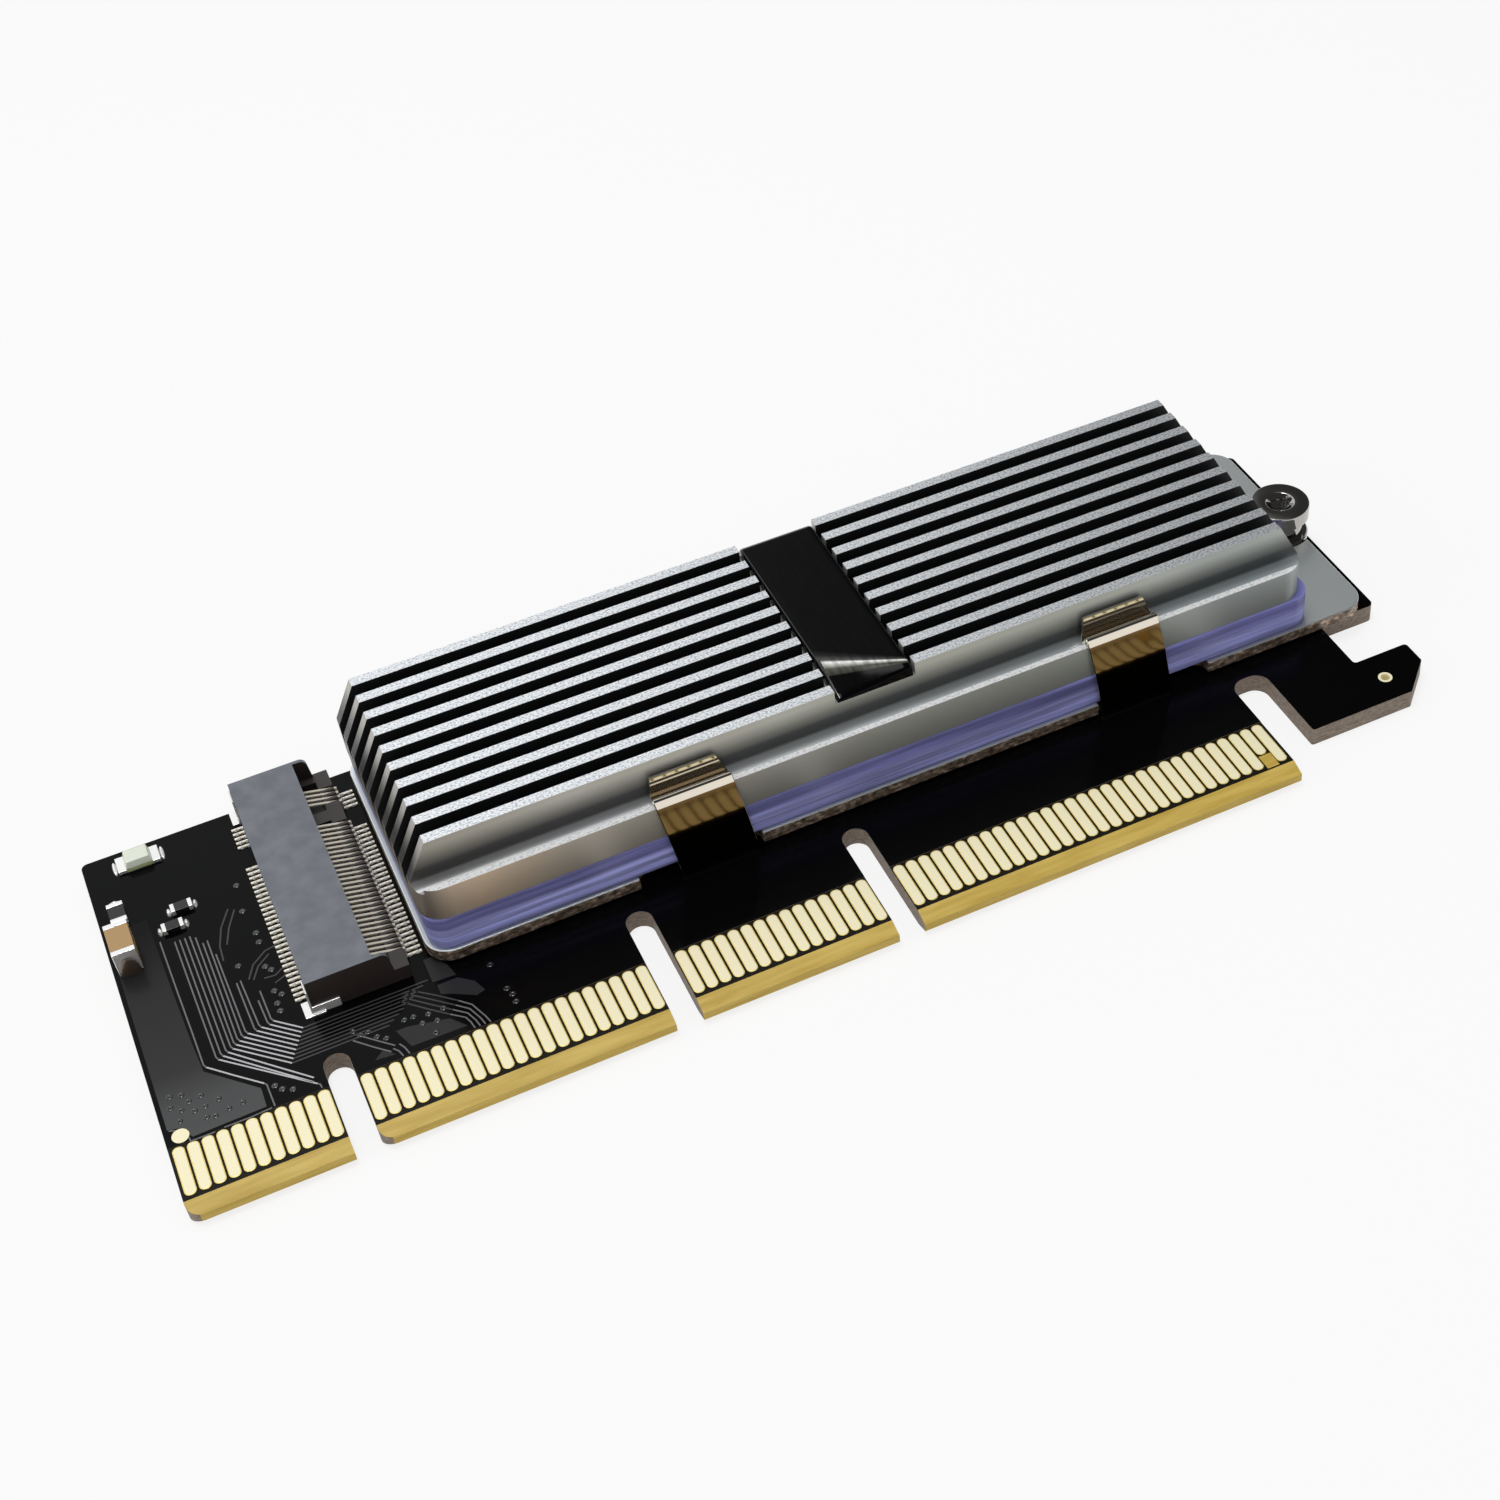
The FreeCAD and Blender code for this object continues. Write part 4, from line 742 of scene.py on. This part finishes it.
def fold_drop(past, soft, slope):
    """How far the film has come down at a distance past the start of its soft fold."""
    if past <= 0:
        return 0.0
    return slope * past ** 2 / (4 * soft) if past < 2 * soft else slope * (past - soft)


def label_film():
    """The glossy film over the fins, its near end creased at a slant and turned down, its far end rounded."""
    low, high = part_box("label_strip")
    wide, reach, thick = ((high[i] - low[i]) / MM for i in range(3))
    dips = [(0.0, 0.25), (0.04, 0.12), (0.12, 0.04), (0.25, 0.0)]
    side, parts = dips[-1][0], 14
    columns = dips + [(side + (wide - 2 * side) * k / parts, 0.0) for k in range(1, parts)]
    columns += [(wide - u, dip) for u, dip in reversed(dips)]
    rings = []
    for u, dip in columns:
        crease = CREASE_START - CREASE_SLOPE * u
        soft = min(0.42, crease * 0.6)
        slope = 0.27 + 0.12 * u / wide
        top = []
        for v, lip in film_rows(crease, soft, reach):
            drop = fold_drop(crease + soft - v, soft, slope) + dip + lip
            top.append((low[0] + u * MM, low[1] + v * MM, high[2] - min(drop, thick - 0.02) * MM))
        rings.append(top + [(x, y, low[2]) for x, y, _ in reversed(top)])
    bm = bmesh.new()
    tube(bm, rings)
    bmesh.ops.recalc_face_normals(bm, faces=bm.faces)
    obj = mesh_object("label_film", bm, [MAT["label"], MAT["label_bend"]], 60)
    paint(obj, lambda centre, normal: 1 if abs(normal.x) > 0.3 or normal.y > 0.25 else 0)
    place(obj, "label_strip", slot="label_film")


def rounded_path(points, radii, steps=6):
    """Replace each inner corner of a line with an arc."""
    path = [Vector(points[0])]
    for i in range(1, len(points) - 1):
        here = Vector(points[i])
        back = Vector(points[i - 1]) - here
        ahead = Vector(points[i + 1]) - here
        reach = min(radii[i - 1], back.length * 0.49, ahead.length * 0.49)
        start = here + back.normalized() * reach
        end = here + ahead.normalized() * reach
        for k in range(steps + 1):
            t = k / steps
            path.append(start * (1 - t) ** 2 + here * 2 * t * (1 - t) + end * t ** 2)
    path.append(Vector(points[-1]))
    return path


def clip_side(bow):
    """Half of a clip's middle line: distance from the stack's centre, height and bend, in millimetres."""
    foot = 11.175
    bulge = foot + bow
    return [(9.80, 9.15, 0.0), (9.83, 7.2, 0.15), (10.0, 6.95, 0.2), (10.2, 7.1, 0.2), (10.6, 7.78, 0.3),
            (11.0 - bow * 0.6, 7.93, 0.3), (bulge - bow * 1.75, 7.5, 0.3), (bulge, 4.6, 0.6),
            (bulge, 3.2, 0.8), (foot, 0.125, 0.5)]


def clip(name, node):
    """The swept strip of a spring clip; both cut sides lean along X as they rise."""
    low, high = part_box(node)
    cover_low, cover_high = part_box("heatsink_cover")
    middle = (cover_high[1] + cover_low[1]) / 2
    near_side, far_side = clip_side(0.2), clip_side(0.0)
    joined = [(-y, z, bend) for y, z, bend in near_side] + [(y, z, bend) for y, z, bend in reversed(far_side)]
    path = rounded_path([p[:2] for p in joined], [p[2] for p in joined[1:-1]])
    thick, wide, lean, soft = 0.25, 6.0, 0.15, 0.05
    flat = 1 - 2 * soft / thick
    section = [(-1, soft), (-1, wide - soft), (-flat, wide), (flat, wide),
               (1, wide - soft), (1, soft), (flat, 0), (-flat, 0)]
    rings = []
    for i, spot in enumerate(path):
        before = path[max(i - 1, 0)]
        after = path[min(i + 1, len(path) - 1)]
        run = (after - before).normalized()
        normal = Vector((-run.y, run.x)) * thick / 2
        tip = 0.5 if i in (0, len(path) - 1) else 0.0
        ring = []
        for sign, across in section:
            across = min(max(across, tip), wide - tip)
            ring.append((high[0] - (wide - across + lean * spot.y) * MM,
                         middle + (spot.x + normal.x * sign) * MM,
                         low[2] + (spot.y + normal.y * sign) * MM))
        rings.append(ring)
    bm = bmesh.new()
    tube(bm, rings)
    bmesh.ops.recalc_face_normals(bm, faces=bm.faces)
    obj = mesh_object(name, bm, [MAT["nickel"], MAT["leg"]], 40)
    # The leg's front faces below 7.2 mm take the painted reflection.
    paint(obj, lambda centre, normal: 1 if normal.y < -0.9 and centre.z < low[2] + 7.2 * MM else 0)
    place(obj, node, slot="nickel_plating")


def lathe(name, node, profile, mat, slot, steps=96):
    """A turned piece about the node's own upright axis; the profile is in millimetres from its base."""
    low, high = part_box(node)
    cx, cy = (low[0] + high[0]) / 2, (low[1] + high[1]) / 2
    bm = bmesh.new()
    rings = []
    for r, z in profile:
        rings.append([bm.verts.new((x, y, low[2] + z * MM)) for x, y in circle(cx, cy, r * MM, steps)])
    stitch(bm, rings + rings[:1])
    bmesh.ops.recalc_face_normals(bm, faces=bm.faces)
    place(mesh_object(name, bm, mat, 35), node, slot=slot)


def standoff():
    """The turned post: a shank in the board, a flange, a neck and a head with a threaded bore."""
    low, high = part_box("standoff")
    tall = (high[2] - low[2]) / MM
    r = (high[0] - low[0]) / 2 / MM
    bore, root, shank, neck, edge, pitch = 0.8, 0.98, 1.55, 1.95, 0.1, 0.4
    base = tall - 4.0
    flange = base + 1.2
    head = base + 2.7
    profile = [(bore, 0.0), (shank, 0.0), (shank, base), (r - edge, base), (r, base + edge),
               (r, flange - edge), (r - edge, flange), (neck, flange), (neck, head), (r - edge, head),
               (r, head + edge), (r, tall - 0.16), (r - 0.05, tall - 0.05), (r - 0.16, tall),
               (1.22, tall), (1.12, tall - 0.04), (bore, tall - 0.4)]
    for turn in range(11):
        z = tall - 0.5 - turn * pitch
        profile += [(bore, z), (root, z - pitch / 2)]
    profile.append((bore, 0.3))
    lathe("turned_standoff", "standoff", profile, MAT["steel"], "nickel_plating")


# ------------------------------------------------------------------ socket and chips
def dress(node, key):
    """Give a CAD node that stays as it is its material."""
    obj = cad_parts[node]
    obj.data.materials.clear()
    obj.data.materials.append(MAT[key])


def blob(bm, centre, reach, around=20, up=12):
    """A low dome of solder: an ellipsoid's upper half, in metres."""
    result = bmesh.ops.create_uvsphere(bm, u_segments=around, v_segments=up, radius=1.0)
    for v in result["verts"]:
        spot = (v.co.x, v.co.y, max(v.co.z, 0.0))
        v.co = [middle + share * far for middle, share, far in zip(centre, spot, reach)]


def socket():
    """The moulded housing, with painted shade on its faces toward the near edge and inside its mouth, with
    its contacts, their solder and its hold-downs.
    """
    low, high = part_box("socket_housing")
    housing = refined("moulded_socket", "socket_housing", [MAT["socket"], MAT["socket_end"]],
                      0.08, longer_mm=3.0, angle=40)
    deep = high[2] - 0.6 * MM

    # Faces toward the near edge and those inside the mouth take the painted shade.
    def choose(centre, normal):
        inner = centre.z < deep and low[1] + 0.5 * MM < centre.y < high[1] - 0.5 * MM
        return 1 if normal.y < -0.5 or (inner and (normal.z > 0.5 or normal.x > 0.5)) else 0

    paint(housing, choose)
    place(housing, "socket_housing", slot="socket_plastic")
    bead = (0.25 * MM, 0.13 * MM, 0.2 * MM)
    beads = bmesh.new()
    for node in ("socket_lower_contacts", "socket_upper_contacts"):
        dress(node, "contact")
        for tail_low, tail_high in islands(node):
            left = tail_low[0] + tail_high[0] < low[0] + high[0]
            end = tail_low[0] if left else tail_high[0]
            toward = 1 if left else -1
            for step in (0.32, 0.84):
                spot = (end + toward * step * MM, (tail_low[1] + tail_high[1]) / 2, TOP)
                blob(beads, spot, bead, 10, 6)
    for node in ("socket_near_hold_down", "socket_far_hold_down"):
        obj = refined(node + "_tab", node, MAT["tin"], 0.05, 2)
        place(obj, node, slot="tin")
    place(mesh_object("contact_solder", beads, MAT["solder"], 70), slot="tin")


def chips():
    """The status light, the capacitor and the resistors, with bright ends and solder at them."""
    parts = (("status_led", "led_base", "led_base"), ("capacitor", "ceramic", "capacitor_ceramic"),
             ("first_resistor", "glaze", "resistor_glaze"), ("second_resistor", "glaze", "resistor_glaze"),
             ("side_resistor", "glaze", "resistor_glaze"))
    for name, key, slot in parts:
        body = refined(name + "_block", name + "_body", MAT[key], 0.04, 2)
        place(body, name + "_body", slot=slot)
        ends = refined(name + "_ends", name + "_terminals", MAT["tin"], 0.05, 3)
        place(ends, name + "_terminals", slot="tin")
    lens = refined("status_led_window", "status_led_lens", MAT["lens"], 0.08, 3)
    place(lens, "status_led_lens", slot="led_lens")
    chip_solder()


def chip_solder():
    """Domes of solder at the chips' ends, the one in front of the capacitor painted dark brown as a painted
    reflection.
    """
    bright, dull = bmesh.new(), bmesh.new()
    body_low, body_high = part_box("capacitor_body")
    for low, high in islands("chip_solder_joints"):
        x, y = (low[0] + high[0]) / 2, (low[1] + high[1]) / 2
        by_capacitor = body_low[0] - MM < x < body_high[0] + MM and y < body_low[1]
        blob(dull if by_capacitor else bright, (x, y, low[2]),
             ((high[0] - low[0]) / 2, (high[1] - low[1]) / 2, (high[2] - low[2]) * 0.95))
    fillets = [mesh_object("solder_fillets", bright, MAT["tin"], 70)]
    if dull.verts:
        fillets.append(mesh_object("solder_fillet_painted_reflection", dull, MAT["dull_tin"], 70))
    for fillet in fillets:
        place(fillet, slot="tin")
    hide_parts("chip_solder_joints")


def test_pad():
    """The round gold pad at the board's near left corner."""
    low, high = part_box("corner_test_pad")
    cx, cy, r = (low[0] + high[0]) / 2, (low[1] + high[1]) / 2, (high[0] - low[0]) / 2
    bm = bmesh.new()
    prism(bm, circle(cx, cy, r, 40), low[2], high[2], 0.02)
    place(mesh_object("round_test_pad", bm, MAT["gold"], 30), "corner_test_pad", slot="gold_plating")


# ------------------------------------------------------------------ studio
def fade(tree, source, start, end, first, last):
    """A smooth change from one value to another as the source goes from start to end."""
    node = tree.nodes.new("ShaderNodeMapRange")
    node.interpolation_type = "SMOOTHSTEP"
    tree.links.new(source, node.inputs["Value"])
    for key, value in (("From Min", start), ("From Max", end), ("To Min", first), ("To Max", last)):
        node.inputs[key].default_value = value
    return node.outputs["Result"]


def mirrored_room(tree):
    """What metal and lacquer mirror: a pale horizon and a ceiling that is bright only to the left.

    The limits are parts of a direction of length one.
    """
    x, y, z = axes(tree, "Generated")
    side = fade(tree, x, 0.15, 0.45, 1.0, 0.05)
    back = fade(tree, y, 0.0, 0.35, 0.0, 1.0)
    ceiling = link_math(tree, "MULTIPLY", side, back)
    ceiling = link_math(tree, "MAXIMUM", ceiling, 0.05)
    horizon = fade(tree, z, 0.16, 0.34, 0.93, 0.0)
    return link_math(tree, "MAXIMUM", ceiling, horizon)


def background(tree, color, strength=1.0):
    """A plain colour for the world; returns its node."""
    node = tree.nodes.new("ShaderNodeBackground")
    node.inputs["Color"].default_value = (*color, 1)
    node.inputs["Strength"].default_value = strength
    return node


def mixed_shader(tree, share, first, second):
    """The first shader where the share is 0, the second where it is 1."""
    mix = tree.nodes.new("ShaderNodeMixShader")
    tree.links.new(share, mix.inputs["Fac"])
    tree.links.new(first, mix.inputs[1])
    tree.links.new(second, mix.inputs[2])
    return mix.outputs["Shader"]


def studio_world():
    """What lights the card, what its surfaces mirror, and the plain white that the camera sees."""
    world = bpy.data.worlds.new("studio")
    bpy.context.scene.world = world
    world.use_nodes = True
    tree = world.node_tree
    tree.nodes.clear()
    path = tree.nodes.new("ShaderNodeLightPath").outputs
    seen = background(tree, (1, 1, 1))
    light = background(tree, (0.8, 0.8, 0.8), 0.66)
    mirrored = background(tree, (0.97, 0.985, 1.0))
    tree.links.new(mirrored_room(tree), mirrored.inputs["Strength"])
    room = mixed_shader(tree, path["Is Glossy Ray"], light.outputs["Background"],
                        mirrored.outputs["Background"])
    clear = link_math(tree, "MAXIMUM", path["Is Camera Ray"], path["Is Transmission Ray"])
    out = tree.nodes.new("ShaderNodeOutputWorld")
    tree.links.new(mixed_shader(tree, clear, room, seen.outputs["Background"]), out.inputs["Surface"])


def studio():
    """A white room, a soft light above the card, a weak one at its left, and a pale floor."""
    bpy.context.scene.view_settings.view_transform = "Standard"
    studio_world()
    softbox("overhead", (-0.06, 0.02, 0.45), 0.14, 0.75)
    softbox("left_rim", (-0.45, 0.05, 0.20), 0.22, 0.25)
    floor()


def softbox(name, spot, width, power):
    """A square area light, turned to the card."""
    data = bpy.data.lights.new(name, "AREA")
    data.shape = "SQUARE"
    data.size = width
    data.energy = power
    obj = bpy.data.objects.new(name, data)
    bpy.context.scene.collection.objects.link(obj)
    obj.location = spot
    obj.rotation_euler = (-Vector(spot)).to_track_quat("-Z", "Y").to_euler()


def floor():
    """A pale floor that takes the card's shadow and glows to the camera and in mirrors."""
    z = BOARD_LOW[2] - 0.02 * MM
    half = 2.5
    bm = bmesh.new()
    corners = ((-half, -half), (half, -half), (half, half), (-half, half))
    bm.faces.new([bm.verts.new((x, y, z)) for x, y in corners])
    mat = bpy.data.materials.new("pale_floor")
    mat.use_nodes = True
    tree = mat.node_tree
    tree.nodes.clear()
    matte = tree.nodes.new("ShaderNodeBsdfDiffuse")
    matte.inputs["Color"].default_value = (0.88, 0.88, 0.88, 1)
    glow = tree.nodes.new("ShaderNodeEmission")
    glow.inputs["Color"].default_value = (1, 1, 1, 1)
    path = tree.nodes.new("ShaderNodeLightPath").outputs
    either = link_math(tree, "MAXIMUM", path["Is Camera Ray"], path["Is Glossy Ray"])
    share = link_math(tree, "MULTIPLY", either, 0.8)
    out = tree.nodes.new("ShaderNodeOutputMaterial")
    tree.links.new(mixed_shader(tree, share, matte.outputs["BSDF"], glow.outputs["Emission"]),
                   out.inputs["Surface"])
    obj = mesh_object("floor", bm, mat)


def camera():
    """The view of the card from above its contact edge, a little from the left."""
    data = bpy.data.cameras.new("view")
    data.sensor_width = 36.0
    data.lens = 57.08
    data.shift_x = -0.1
    data.clip_start = 0.005
    data.clip_end = 10
    obj = bpy.data.objects.new("view", data)
    bpy.context.scene.collection.objects.link(obj)
    right = Vector((0.902297, -0.426670, -0.061747))
    up = Vector((0.340694, 0.617934, 0.708580))
    turn = Matrix((right, up, right.cross(up))).transposed().to_4x4()
    obj.matrix_world = Matrix.Translation((-0.038278, -0.120286, 0.128509)) @ turn
    bpy.context.scene.camera = obj


# ------------------------------------------------------------------ everything
dress_board()
ground_planes()
copper_traces()
vias()
mask_border()
bare_patch()
gold_fingers("front_gold_fingers", "front_edge_contacts")
gold_fingers("back_gold_fingers", "back_edge_contacts")
heatsink()
clip("left_spring_clip", "left_clip")
clip("right_spring_clip", "right_clip")
standoff()
socket()
chips()
test_pad()
dress("hook_eyelet", "gold")
studio()
camera()
